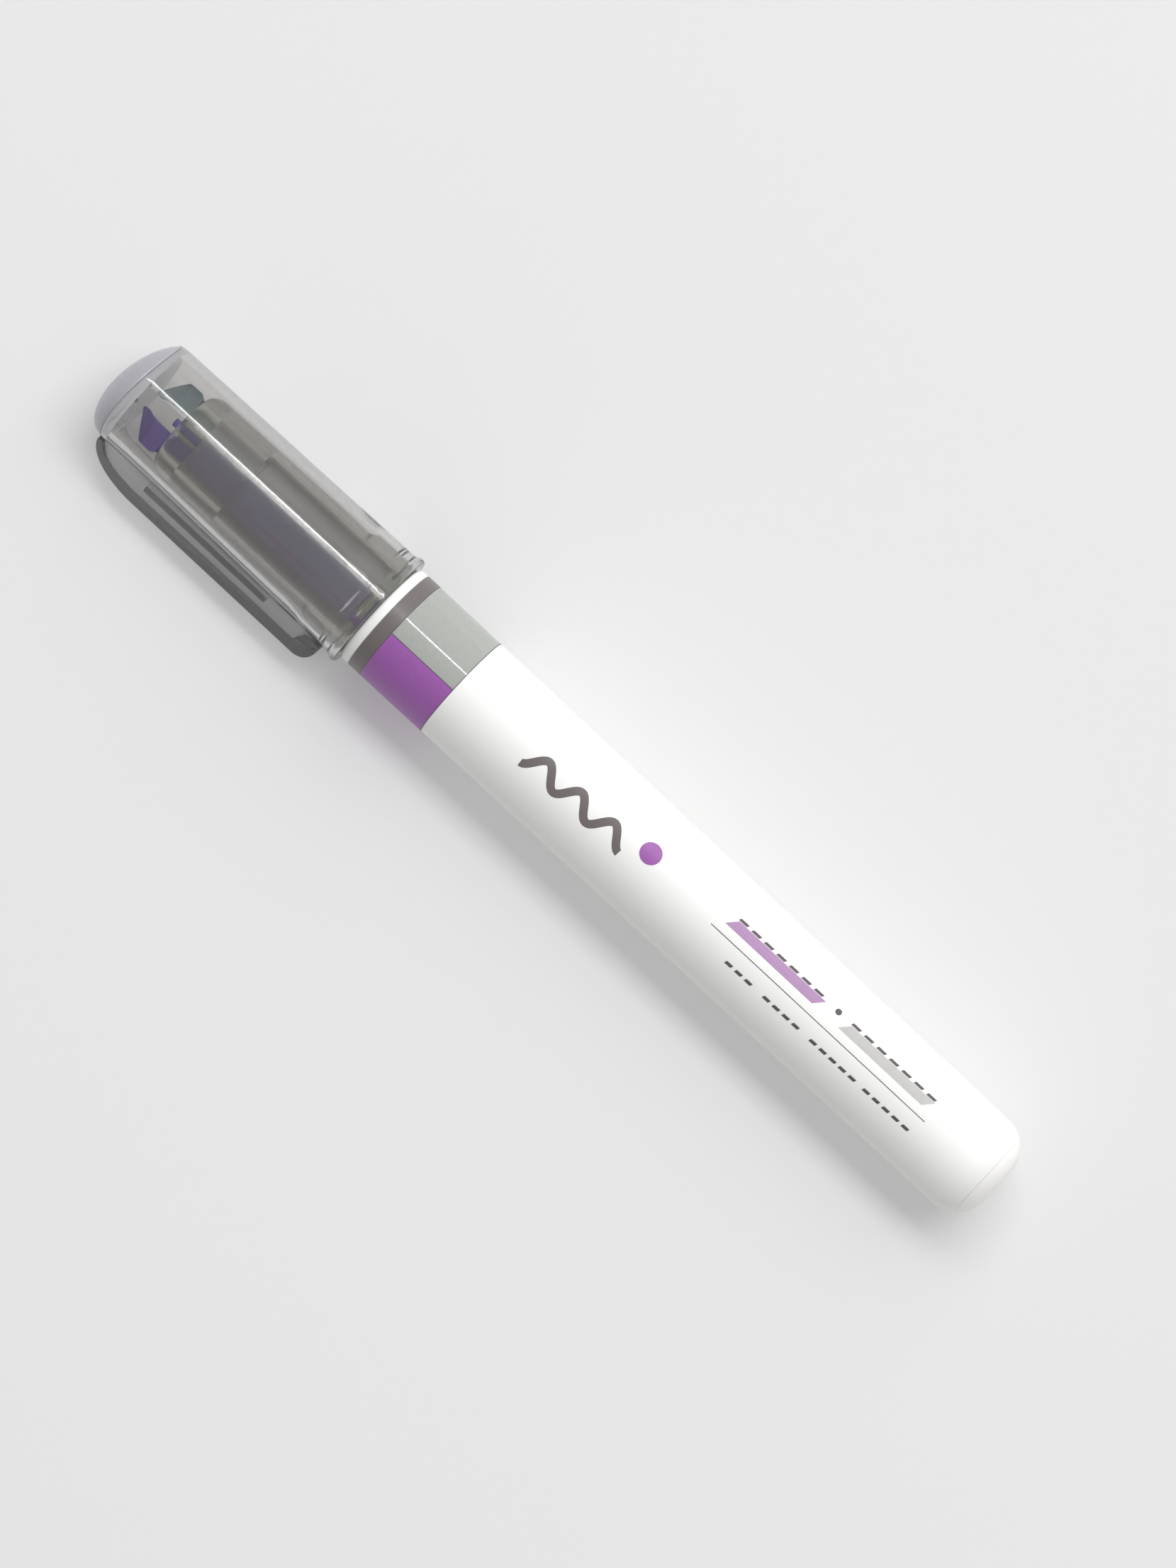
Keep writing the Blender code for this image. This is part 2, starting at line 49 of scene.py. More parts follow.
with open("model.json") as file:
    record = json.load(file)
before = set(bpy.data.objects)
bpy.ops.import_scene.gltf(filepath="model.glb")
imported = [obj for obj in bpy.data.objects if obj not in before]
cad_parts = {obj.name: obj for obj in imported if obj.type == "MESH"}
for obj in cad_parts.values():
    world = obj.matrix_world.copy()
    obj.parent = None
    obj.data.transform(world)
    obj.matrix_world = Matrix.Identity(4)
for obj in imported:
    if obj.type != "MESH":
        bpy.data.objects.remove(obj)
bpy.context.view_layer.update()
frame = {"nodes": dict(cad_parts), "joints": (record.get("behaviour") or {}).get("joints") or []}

BARREL_LOW, BARREL_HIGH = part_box("barrel")
COLLAR_LOW, COLLAR_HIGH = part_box("collar_ring")
CAP_LOW, CAP_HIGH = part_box("cap_shell")
CROWN_LOW, CROWN_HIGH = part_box("cap_crown")
PLUG_LOW, PLUG_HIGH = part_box("tail_plug")
FRONT_LOW, FRONT_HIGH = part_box("front_section")
HOLDER_LOW, HOLDER_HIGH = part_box("nib_holder")
FEED_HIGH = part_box("violet_feed")[1]

AXIS = Vector((0.0, (BARREL_LOW.y + BARREL_HIGH.y) / 2, (BARREL_LOW.z + BARREL_HIGH.z) / 2))
BARREL_RADIUS = (BARREL_HIGH.z - BARREL_LOW.z) / 2
LIP_RADIUS = (CAP_HIGH.z - CAP_LOW.z) / 2
CROWN_RADIUS = (CROWN_HIGH.z - CROWN_LOW.z) / 2
FRONT_RADIUS = (FRONT_HIGH.z - FRONT_LOW.z) / 2
HOLDER_RADIUS = (HOLDER_HIGH.z - HOLDER_LOW.z) / 2
TAIL_X = PLUG_LOW.x
HINGE = next(joint for joint in frame["joints"] if joint["name"] == "clip_flex")
HINGE_POINT = Vector(HINGE["pos_m"])
CLIP_ACROSS = -Vector(HINGE["axis"])
CLIP_OUT = Vector((0.0, CLIP_ACROSS.z, -CLIP_ACROSS.y))
HINGE_POINT_OUT = (HINGE_POINT - AXIS).dot(CLIP_OUT)
HOLDER_FRONT = FEED_HIGH.x + 0.05 * MM + 6.9 * MM
TONGUE_DEPTH = 1.25 * MM
INK_DEPTH = 0.012 * MM
SECOND_INK_LIFT = 0.024 * MM
WELD = 1e-6


def length(name, description, millimetres):
    return bpy.props.FloatProperty(
        name=name, description=description, default=millimetres * MM, unit="LENGTH", precision=5
    )


def colour(name, description, code):
    return bpy.props.StringProperty(name=name, description=description, default=code)


class MarkerSizes(bpy.types.PropertyGroup):
    """Sizes of the fine surface; the overall places come from the working model."""

    segments: bpy.props.IntProperty(
        name="Segments", description="Faces round a turned piece", default=160, min=24
    )
    cap_wall: length("Cap Wall", "Thickness of the cap's tube", 1.1)
    cap_mouth_wall: length("Mouth Wall", "Thickness of the cap at its mouth", 0.8)
    cap_lip: length("Cap Lip", "How far the lip stands out at the cap's mouth", 0.3)
    cap_seat: length("Cap Seat", "Depth of the wider bore at the cap's mouth", 6.2)
    cap_end_wall: length("End Wall", "Thickness of the cap's end", 1.3)
    snap_bead: length("Snap Bead", "Height of the bead in the cap's mouth", 0.12)
    crown_rise: length("Crown Rise", "Height of the dome over its rim", 2.6)
    crown_rim: length("Crown Rim", "Height of the straight rim under the dome", 0.2)
    seam_dip: length("Seam Dip", "How far the dome's seam dips at the clip and across from it", 0.55)
    crown_lean: bpy.props.FloatProperty(
        name="Crown Lean", description="How much higher the dome is over the clip", default=0.14
    )
    barrel_wall: length("Barrel Wall", "Thickness of the barrel", 1.05)
    tail_radius: length("Tail Radius", "Radius of the barrel at the tail", 6.4)
    tail_round: length("Tail Round", "Radius of the rounded tail", 4.2)
    clip_width: length("Clip Width", "Width of the pocket clip", 5.0)
    clip_thickness: length("Clip Thickness", "Thickness of the clip's blade", 1.45)
    clip_bend: length("Clip Bend", "Length of the bend at the clip's root", 7.7)
    clip_gap: length("Clip Gap", "Air between the clip's pad and the cap", 0.08)


class MarkerColours(bpy.types.PropertyGroup):
    """Colours, as sRGB hex values."""

    white: colour("White", "Barrel and collar", "F5F5F3")
    natural: colour("Natural", "Tail plug, a little greyer than the barrel", "F8F7F4")
    smoke: colour("Smoke", "Surface of the see-through cap and clip", "F2F1F0")
    olive_smoke: colour("Olive Smoke", "Surface of the see-through nose", "D6D6CD")
    smoke_depth: colour("Smoke Depth", "Colour of the see-through plastic in its depth", "C3C3C4")
    # Painted light: a paler, milkier copy of the cap's smoke, for the light that shines through the cap's
    # thick end wall.
    lilac: colour("Lilac Smoke", "Domed end of the cap", "ABAAB2")
    milk: colour("Milky Smoke", "Thick end wall of the cap", "CFCED1")
    holder: colour("Holder", "Nib holder inside the nose", "D9D3E0")
    core: colour("Core", "Web of the nib holder, between the two inks", "474682")
    violet_felt: colour("Violet Felt", "Nib on the clip's side", "48386F")
    grey_felt: colour("Grey Felt", "The other nib", "08161B")
    violet_fibre: colour("Violet Fibre", "Feed and reservoir of violet ink", "604C88")
    grey_fibre: colour("Grey Fibre", "Feed and reservoir of grey ink", "565B5E")
    violet_ink: colour("Violet Print", "Printed panel", "9D5CAA")
    pale_violet_ink: colour("Pale Violet Print", "Printed colour chip", "AE87B3")
    grey_ink: colour("Grey Print", "Printed panel", "A6A9A4")
    pale_grey_ink: colour("Pale Grey Print", "Printed colour chip", "BEBDBB")
    dark_ink: colour("Dark Print", "Printed band and wave", "706A69")
    fine_ink: colour("Fine Print", "Printed lines and dashes", "5B5457")


class StageSettings(bpy.types.PropertyGroup):
    """Floor, light and camera."""

    camera_distance: length("Camera Distance", "From the camera to the pen", 1100.0)
    view_height: length("View Height", "Height of the picture at the pen", 178.97)
    camera_turn: bpy.props.FloatProperty(
        name="Camera Turn", description="Angle of the pen across the picture",
        default=math.radians(42.95), subtype="ANGLE",
    )
    camera_lean: bpy.props.FloatProperty(
        name="Camera Lean", description="How far the camera leans over the tail",
        default=math.radians(3.3), subtype="ANGLE",
    )
    floor: colour("Floor", "Plain pale floor", "E3E3E3")


def sizes_now():
    return bpy.context.scene.marker_sizes


def colours_now():
    return bpy.context.scene.marker_colours


def srgb(code):
    """An sRGB hex value as linear red, green, blue and alpha."""
    parts = [int(code[place:place + 2], 16) / 255 for place in (0, 2, 4)]
    linear = [part / 12.92 if part <= 0.04045 else ((part + 0.055) / 1.055) ** 2.4 for part in parts]
    return (*linear, 1.0)


def add(tree, kind, inputs=None, **settings):
    """Adds a node with its settings, its input values and its links."""
    node = tree.nodes.new(kind)
    for name, value in settings.items():
        setattr(node, name, value)
    for name, value in (inputs or {}).items():
        if isinstance(value, bpy.types.NodeSocket):
            tree.links.new(value, node.inputs[name])
        else:
            node.inputs[name].default_value = value
    return node


# --- Finishes ---

# The Mix node's colour sockets share their names with its other ones, so they go by number.
MIX_A, MIX_B, MIX_RESULT = 6, 7, 2
PLASTIC_IOR = 1.49
INK_IOR = 1.5


def new_finish(name):
    """An empty material and its tree, output node and object coordinates."""
    material = bpy.data.materials.new(name)
    material.use_nodes = True
    tree = material.node_tree
    tree.nodes.clear()
    output = add(tree, "ShaderNodeOutputMaterial")
    place = add(tree, "ShaderNodeTexCoord").outputs["Object"]
    return material, tree, output, place


def noise(tree, place, size, detail, squeeze=None):
    """Noise with features of a real size, drawn out along the pen by a squeeze below one."""
    if squeeze:
        scale = {"Vector": place, "Scale": (squeeze, 1.0, 1.0)}
        place = add(tree, "ShaderNodeMapping", scale).outputs[0]
    values = {"Vector": place, "Scale": 1 / size, "Detail": detail}
    return add(tree, "ShaderNodeTexNoise", values).outputs["Fac"]


def spread(tree, value, low, high):
    """Spreads a noise between two roughnesses."""
    limits = {"Value": value, "To Min": low, "To Max": high}
    return add(tree, "ShaderNodeMapRange", limits).outputs["Result"]


def mottled(tree, value, code, darker, lighter):
    """A colour that a noise makes darker and lighter."""
    mix = add(tree, "ShaderNodeMix", {"Factor": value}, data_type="RGBA")
    red, green, blue, _ = srgb(code)
    for socket, gain in ((MIX_A, darker), (MIX_B, lighter)):
        mix.inputs[socket].default_value = (red * gain, green * gain, blue * gain, 1.0)
    return mix.outputs[MIX_RESULT]


def surface(tree, output, height, strength, depth, inputs):
    """Ends a finish with its relief, whose depth is a real one, and its shader."""
    bump = add(tree, "ShaderNodeBump", {"Height": height, "Strength": strength, "Distance": depth})
    inputs = {"Normal": bump.outputs["Normal"], **inputs}
    shader = add(tree, "ShaderNodeBsdfPrincipled", inputs)
    tree.links.new(shader.outputs[0], output.inputs["Surface"])


def moulded_satin(name, code):
    """Polypropylene moulded against a fine spark-eroded tool, so its surface is an even satin."""
    material, tree, output, place = new_finish(name)
    grain = noise(tree, place, 0.5 * MM, 3.0)
    rough = spread(tree, noise(tree, place, 9 * MM, 2.0), 0.36, 0.46)
    inputs = {"Base Color": srgb(code), "Roughness": rough, "IOR": PLASTIC_IOR}
    surface(tree, output, grain, 0.12, 0.02 * MM, inputs)
    return material


def smoke_plastic(name, code, roughness, haze, grain_size, tint, density):
    """Smoke-tinted clarified polypropylene, moulded glossy.

    Its surface is nearly colourless, with a milky share, the haze. The smoke colour comes from
    the depth of plastic that light goes through, so a thin wall is pale and an edge is dark.
    """
    material, tree, output, place = new_finish(name)
    ripple = noise(tree, place, grain_size, 3.0, squeeze=0.15)
    inputs = {
        "Base Color": srgb(code), "Roughness": spread(tree, ripple, roughness * 0.7, roughness * 1.3),
        "IOR": PLASTIC_IOR, "Transmission Weight": 1.0 - haze,
    }
    surface(tree, output, ripple, 0.025, 0.03 * MM, inputs)
    if density:
        smoke = add(tree, "ShaderNodeVolumeAbsorption", {"Color": srgb(tint), "Density": density})
        tree.links.new(smoke.outputs[0], output.inputs["Volume"])
    return material


def milky_plastic(name, code):
    """Lilac-smoke polypropylene moulded thick and half glossy.

    Light soaks through it, so that it looks milky and its shading is soft.
    """
    material, tree, output, place = new_finish(name)
    flow = noise(tree, place, 0.5 * MM, 3.0)
    inputs = {
        "Base Color": srgb(code), "Roughness": spread(tree, flow, 0.24, 0.34), "IOR": PLASTIC_IOR,
        "Subsurface Weight": 0.3, "Subsurface Radius": (3.0, 3.0, 3.4), "Subsurface Scale": MM,
    }
    surface(tree, output, flow, 0.06, 0.02 * MM, inputs)
    return material


def ink_felt(name, code):
    """Pressed polyester felt soaked with ink: matt, with fibres along the nib."""
    material, tree, output, place = new_finish(name)
    fibres = noise(tree, place, 0.22 * MM, 4.0, squeeze=0.2)
    inputs = {
        "Base Color": mottled(tree, fibres, code, 0.7, 1.35), "Roughness": 0.85,
        "Specular IOR Level": 0.2, "Sheen Weight": 0.03,
    }
    surface(tree, output, fibres, 0.5, 0.08 * MM, inputs)
    return material


def print_ink(name, code, roughness):
    """Pad-printed ink on polypropylene: thin, even, with a faint mottle from the pad."""
    material, tree, output, place = new_finish(name)
    mottle = noise(tree, place, 0.6 * MM, 4.0)
    tone = mottled(tree, mottle, code, 0.93, 1.07)
    inputs = {"Base Color": tone, "Roughness": roughness, "IOR": INK_IOR}
    surface(tree, output, mottle, 0.08, 0.02 * MM, inputs)
    return material


def studio_paper(code):
    """Seamless paper for the floor, uncoated and pressed smooth, so it is pale and quite matt."""
    material, tree, output, place = new_finish("seamless_paper_matt")
    fibre = noise(tree, place, 1.5 * MM, 3.0)
    inputs = {"Base Color": srgb(code), "Roughness": 1.0, "Specular IOR Level": 0.0}
    surface(tree, output, fibre, 0.05, 0.05 * MM, inputs)
    return material


# --- Shapes ---


def new_tree(name, sockets):
    """A geometry node tree with its named inputs and one geometry output."""
    tree = bpy.data.node_groups.new(name, "GeometryNodeTree")
    for label, kind in sockets:
        tree.interface.new_socket(label, in_out="INPUT", socket_type="NodeSocket" + kind)
    tree.interface.new_socket("Geometry", in_out="OUTPUT", socket_type="NodeSocketGeometry")
    return tree, add(tree, "NodeGroupInput").outputs


def maths(tree, operation, *values):
    """The result of a Math node."""
    return add(tree, "ShaderNodeMath", dict(enumerate(values)), operation=operation).outputs[0]


def point_parts(tree):
    """The x, y and z of each point."""
    place = add(tree, "GeometryNodeInputPosition").outputs[0]
    return add(tree, "ShaderNodeSeparateXYZ", {0: place}).outputs


def laid_round(tree, geometry, x, radius, angle, axis):
    """Moves each point to a place along the pen, at a radius and an angle round its axis."""
    side = maths(tree, "MULTIPLY", radius, maths(tree, "SINE", angle))
    up = maths(tree, "MULTIPLY", radius, maths(tree, "COSINE", angle))
    spot = add(tree, "ShaderNodeCombineXYZ", {"X": x, "Y": side, "Z": up}).outputs[0]
    placed = add(tree, "ShaderNodeVectorMath", {0: spot, 1: axis}, operation="ADD").outputs[0]
    values = {"Geometry": geometry, "Position": placed}
    return add(tree, "GeometryNodeSetPosition", values).outputs[0]


def turned_tree():
    """Spins the outline of a moulding round the pen's axis."""
    tree, given = new_tree(
        "Turned moulding",
        [("Outline", "Geometry"), ("Segments", "Int"), ("Closed", "Int"), ("Axis", "Vector"),
         ("Material", "Material")],
    )
    outline = given["Outline"]
    size = add(tree, "GeometryNodeAttributeDomainSize", {"Geometry": outline})
    count = size.outputs["Point Count"]
    rows = maths(tree, "ADD", count, given["Closed"])
    turns = maths(tree, "ADD", given["Segments"], 1.0)
    sheet = add(tree, "GeometryNodeMeshGrid", {"Vertices X": rows, "Vertices Y": turns})
    index = add(tree, "GeometryNodeInputIndex").outputs[0]
    row = maths(tree, "FLOOR", maths(tree, "DIVIDE", index, turns))
    place = add(tree, "GeometryNodeInputPosition").outputs[0]
    values = {"Geometry": outline, "Value": place, "Index": maths(tree, "MODULO", row, count)}
    picked = add(tree, "GeometryNodeSampleIndex", values, data_type="FLOAT_VECTOR")
    parts = add(tree, "ShaderNodeSeparateXYZ", {0: picked.outputs["Value"]}).outputs
    turn = maths(tree, "DIVIDE", maths(tree, "MODULO", index, turns), given["Segments"])
    angle = maths(tree, "MULTIPLY", turn, math.tau)
    moved = laid_round(tree, sheet.outputs["Mesh"], parts["X"], parts["Z"], angle, given["Axis"])
    finish_tree(tree, moved, given)
    return tree


def wrapped_tree():
    """Wraps flat artwork, x along and y round the pen, on the tapered barrel as a thin layer."""
    tree, given = new_tree(
        "Wrapped print",
        [("Artwork", "Geometry"), ("Rear", "Float"), ("Front", "Float"), ("Rear Radius", "Float"),
         ("Front Radius", "Float"), ("Lift", "Float"), ("Thickness", "Float"), ("Axis", "Vector"),
         ("Material", "Material")],
    )
    place = point_parts(tree)
    taper = {
        "Value": place["X"], "From Min": given["Rear"], "From Max": given["Front"],
        "To Min": given["Rear Radius"], "To Max": given["Front Radius"],
    }
    radius = add(tree, "ShaderNodeMapRange", taper, clamp=False).outputs["Result"]
    angle = maths(tree, "DIVIDE", place["Y"], given["Front Radius"])
    reach = maths(tree, "ADD", radius, given["Lift"])
    skin = laid_round(tree, given["Artwork"], place["X"], reach, angle, given["Axis"])
    skin = add(tree, "GeometryNodeMergeByDistance", {"Geometry": skin, "Distance": WELD})
    raised = add(
        tree, "GeometryNodeExtrudeMesh",
        {"Mesh": skin.outputs[0], "Offset Scale": given["Thickness"], "Individual": False},
    )
    under = add(tree, "GeometryNodeFlipFaces", {"Mesh": skin.outputs[0]})
    both = add(tree, "GeometryNodeJoinGeometry", {0: raised.outputs["Mesh"]})
    tree.links.new(under.outputs[0], both.inputs[0])
    finish_tree(tree, both.outputs[0], given)
    return tree


def dash_row_tree():
    """A row of like dashes with slanted ends, on the flat."""
    tree, given = new_tree(
        "Dash row",
        [("Artwork", "Geometry"), ("Start", "Float"), ("Height", "Float"), ("Pitch", "Float"),
         ("Count", "Int"), ("Length", "Float"), ("Width", "Float"), ("Slant", "Float"),
         ("Material", "Material")],
    )
    start = add(tree, "ShaderNodeCombineXYZ", {"X": given["Start"], "Y": given["Height"]})
    step = add(tree, "ShaderNodeCombineXYZ", {"X": given["Pitch"]})
    line = {"Count": given["Count"], "Start Location": start.outputs[0], "Offset": step.outputs[0]}
    places = add(tree, "GeometryNodeMeshLine", line).outputs[0]
    dash = add(
        tree, "GeometryNodeMeshGrid",
        {"Size X": given["Length"], "Size Y": given["Width"], "Vertices X": 9, "Vertices Y": 4},
    )
    lean = maths(tree, "MULTIPLY", point_parts(tree)["Y"], given["Slant"])
    shift = add(tree, "ShaderNodeCombineXYZ", {"X": lean}).outputs[0]
    values = {"Geometry": dash.outputs["Mesh"], "Offset": shift}
    slanted = add(tree, "GeometryNodeSetPosition", values).outputs[0]
    row = add(tree, "GeometryNodeInstanceOnPoints", {"Points": places, "Instance": slanted})
    finish_tree(tree, row.outputs[0], given)
    return tree


def finish_tree(tree, geometry, given):
    """Closes seams and poles, makes everything real and sets the finish."""
    closed = add(tree, "GeometryNodeMergeByDistance", {"Geometry": geometry, "Distance": WELD})
    real = add(tree, "GeometryNodeRealizeInstances", {0: closed.outputs[0]})
    values = {"Geometry": real.outputs[0], "Material": given["Material"]}
    dressed = add(tree, "GeometryNodeSetMaterial", values)
    output = add(tree, "NodeGroupOutput")
    tree.links.new(dressed.outputs[0], output.inputs[0])


def linked(name, data):
    """A new object in the scene."""
    obj = bpy.data.objects.new(name, data)
    bpy.context.scene.collection.objects.link(obj)
    return obj


def grow(obj, tree, values):
    """Puts a geometry node tree on an object, with its inputs."""
    modifier = obj.modifiers.new(tree.name, "NODES")
    modifier.node_group = tree
    set_inputs(modifier, values)
    return obj


def set_inputs(modifier, values):
    """Sets a node tree's named inputs on its modifier, by their identifiers."""
    items = modifier.node_group.interface.items_tree
    sockets = {item.name: item.identifier for item in items if item.in_out == "INPUT"}
    for label, value in values.items():
        modifier[sockets[label]] = value


def settled(obj):
    """Replaces an object's mesh by its evaluated one, closed and facing outwards."""
    graph = bpy.context.evaluated_depsgraph_get()
    mesh = bpy.data.meshes.new_from_object(obj.evaluated_get(graph), depsgraph=graph)
    obj.modifiers.clear()
    obj.data = mesh
    mesh.name = obj.name
    shape = bmesh.new()
    shape.from_mesh(mesh)
    if shape.calc_volume(signed=True) < 0:
        bmesh.ops.reverse_faces(shape, faces=shape.faces[:])
    shape.to_mesh(mesh)
    shape.free()
    mesh.shade_smooth()
    mesh.set_sharp_from_angle(angle=math.radians(30))
    return obj


def rounded(outline, steps=5):
    """Rounds each corner of a closed outline of (x, radius, corner radius) points."""
    points = []
    for index, (x, y, corner) in enumerate(outline):
        here = Vector((x, y))
        before = Vector(outline[index - 1][:2]) - here
        after = Vector(outline[(index + 1) % len(outline)][:2]) - here
        if corner <= 0 or before.length < 1e-9 or after.length < 1e-9:
            points.append((x, y))
            continue
        reach = min(corner, before.length * 0.49, after.length * 0.49)
        start = here + before.normalized() * reach
        end = here + after.normalized() * reach
        for step in range(steps + 1):
            share = step / steps
            points.append(tuple(start.lerp(here, share).lerp(here.lerp(end, share), share)))
    return points


def arc(centre, radii, start, end, steps):
    """Points on an elliptical arc, with its angles in degrees."""
    points = []
    for step in range(steps + 1):
        angle = math.radians(start + (end - start) * step / steps)
        points.append((centre[0] + radii[0] * math.cos(angle), centre[1] + radii[1] * math.sin(angle)))
    return points


def turned(name, outline, material):
    """A moulding turned round the pen's axis from its (x, radius) outline."""
    closed = outline[0][1] > 0
    mesh = bpy.data.meshes.new(name)
    mesh.from_pydata([(x, 0.0, radius) for x, radius in outline], [], [])
    values = {
        "Segments": sizes_now().segments,
        "Closed": int(closed), "Axis": AXIS, "Material": material,
    }
    tree = kept_tree("Turned moulding", turned_tree)
    return settled(grow(linked(name, mesh), tree, values))


def kept_tree(name, maker):
    """The named node tree, made the first time it is asked for."""
    return bpy.data.node_groups.get(name) or maker()


def kept_finish(maker, name, *values):
    """The named material, made the first time it is asked for."""
    return bpy.data.materials.get(name) or maker(name, *values)


def dress(obj, material, body, slot, *nodes):
    """Sets a piece's finish and body, and hides the model nodes that it stands for; the slot is not used.
    """
    if material and not obj.data.materials:
        obj.data.materials.append(material)
    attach(obj, body)
    if nodes:
        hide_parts(*nodes)
    return obj


def lit_from_inside(piece):
    """Lets the fill light reach a see-through piece, as light that leaks round inside the cap does."""
    bpy.data.collections["fill_receivers"].objects.link(piece)


# --- Finish look-ups ---


def white_finish():
    """The satin white of the barrel, the collar and the divider."""
    white = colours_now().white
    return kept_finish(moulded_satin, "white_polypropylene_satin", white)


def smoke_finish(part):
    """The see-through plastic of a part: name, colour, roughness, haze, grain, tint and density."""
    colours = colours_now()
    smoke, tint = colours.smoke, colours.smoke_depth
    choices = {
        "cap": ("smoke_polypropylene_cap", smoke, 0.02, 0.012, 1.6 * MM, tint, 260.0),
        "nose": ("smoke_polypropylene_nose", colours.olive_smoke, 0.12, 0.03, 1.2 * MM, tint, 90.0),
        "clip": ("smoke_polypropylene_clip", smoke, 0.08, 0.07, 1.6 * MM, tint, 480.0),
        "holder": ("smoke_holder_satin", colours.holder, 0.22, 0.08, 0.8 * MM, tint, 40.0),
        # Painted light: the cap's end wall gets a paler, hazier, less smoky copy of the cap's plastic for
        # the light that shines through it.
        "end": ("milky_smoke_polypropylene", colours.milk, 0.06, 0.34, 1.6 * MM, tint, 40.0),
        "film": ("clear_polyethylene_film", smoke, 0.15, 0.05, 1.0 * MM, tint, 0.0),
    }
    return kept_finish(smoke_plastic, *choices[part])


# --- Pieces ---


def barrel_radius(x):
    """Outer radius of the barrel at a place along it, with its rounded tail."""
    sizes = sizes_now()
    along = x - TAIL_X
    if along < sizes.tail_round:
        inward = sizes.tail_round - along
        return sizes.tail_radius - sizes.tail_round + math.sqrt(max(sizes.tail_round**2 - inward**2, 0))
    share = (along - sizes.tail_round) / (BARREL_HIGH.x - TAIL_X - sizes.tail_round)
    return sizes.tail_radius + (BARREL_RADIUS - sizes.tail_radius) * share


class MARKER_OT_barrel(bpy.types.Operator):
    """Build the barrel, its tail plug and the collar ring"""

    bl_idname = "marker.barrel"
    bl_label = "Barrel, Tail and Collar"

    def execute(self, context):
        sizes = context.scene.marker_sizes
        white = white_finish()
        rear, front = BARREL_LOW.x - 0.07 * MM, BARREL_HIGH.x
        tail_end = TAIL_X + sizes.tail_round
        bore = sizes.tail_radius - sizes.barrel_wall
        neck = BARREL_RADIUS - sizes.barrel_wall
        outline = [(rear, bore - 0.8 * MM)]
        for step in range(13):
            x = rear + (tail_end - rear) * step / 12
            outline.append((x, barrel_radius(x)))
        outline += [
            (front - 0.05 * MM, BARREL_RADIUS), (front, BARREL_RADIUS - 0.05 * MM),
            (front, neck), (FRONT_LOW.x - 0.1 * MM, neck), (FRONT_LOW.x - 0.1 * MM, bore),
            (PLUG_HIGH.x + 0.1 * MM, bore), (PLUG_HIGH.x, bore - 0.8 * MM),
        ]
        dress(turned("barrel_tube", outline, white), None, "pen_body", "white_plastic", "barrel")
        code = context.scene.marker_colours.natural
        natural = kept_finish(moulded_satin, "natural_polypropylene_satin", code)
        dress(tail_plug(natural), None, "pen_body", "white_plastic", "tail_plug")
        width = COLLAR_HIGH.x - COLLAR_LOW.x
        ring = rounded(
            [
                (COLLAR_LOW.x, neck, 0), (COLLAR_LOW.x, BARREL_RADIUS, 0.08 * MM),
                (COLLAR_HIGH.x, BARREL_RADIUS, width * 0.45), (COLLAR_HIGH.x, neck, 0),
            ]
        )
        dress(turned("collar", ring, white), None, "pen_body", "white_plastic", "collar_ring")
        return {"FINISHED"}


def tail_plug(natural):
    """The rounded plug in the barrel's end, hollow from inside."""
    sizes = sizes_now()
    lip = BARREL_LOW.x - 0.1 * MM
    spigot = sizes.tail_radius - sizes.barrel_wall - 0.85 * MM
    outline = [(TAIL_X, 0.0)]
    for step in range(13):
        x = TAIL_X + (lip - TAIL_X) * (step / 12) ** 2
        outline.append((x, barrel_radius(x)))
    outline += [
        (lip, spigot), (PLUG_HIGH.x, spigot), (PLUG_HIGH.x, spigot - 0.95 * MM),
        (lip, spigot - 0.95 * MM), (lip, 0.0),
    ]
    return turned("tail_end", outline, natural)


def cap_radius(x):
    """Outer radius of the tapered cap tube."""
    sizes = sizes_now()
    share = (x - CAP_LOW.x) / (CAP_HIGH.x - CAP_LOW.x)
    mouth = LIP_RADIUS - sizes.cap_lip
    return mouth + (CROWN_RADIUS - mouth) * share


class MARKER_OT_cap(bpy.types.Operator):
    """Build the see-through cap tube and its domed crown"""

    bl_idname = "marker.cap"
    bl_label = "Cap and Crown"

    def execute(self, context):
        for piece in (cap_tube(), cap_floor()):
            lit_from_inside(piece)
            dress(piece, None, "cap", "smoke_plastic", "cap_shell")
        dress(crown(), None, "cap", "lilac_smoke_plastic", "cap_crown")
        return {"FINISHED"}


def cap_tube():
    """The clear tube, with the bead in its mouth."""
    sizes = sizes_now()
    mouth = CAP_LOW.x
    floor = CAP_HIGH.x - sizes.cap_end_wall
    step = mouth + sizes.cap_seat
    widened = step + 3.2 * MM
    lip = sizes.cap_lip
    bore = LIP_RADIUS - lip - sizes.cap_mouth_wall
    bead = mouth + sizes.cap_seat * 0.4
    outline = [
        (mouth, bore + 0.2 * MM, 0.1 * MM),
        (mouth, LIP_RADIUS - 0.12 * MM, 0.1 * MM),
        (mouth + 0.3 * MM, LIP_RADIUS, 0.12 * MM),
        (mouth + 2.2 * lip, LIP_RADIUS, 0.2 * MM),
        (mouth + 4.0 * lip, cap_radius(mouth + 4.0 * lip), 0.5 * MM),
        (floor, cap_radius(floor), 0),
        (floor, cap_radius(floor) - sizes.cap_wall, 0),
        (widened, cap_radius(widened) - sizes.cap_wall, 1.2 * MM),
        (step - 0.1 * MM, bore, 0.6 * MM),
        (bead + 0.4 * MM, bore, 0.1 * MM),
        (bead, bore - sizes.snap_bead, 0.2 * MM),
        (bead - 0.4 * MM, bore, 0.1 * MM),
        (mouth + 0.3 * MM, bore, 0.1 * MM),
    ]
    return turned("cap_tube", rounded(outline), smoke_finish("cap"))


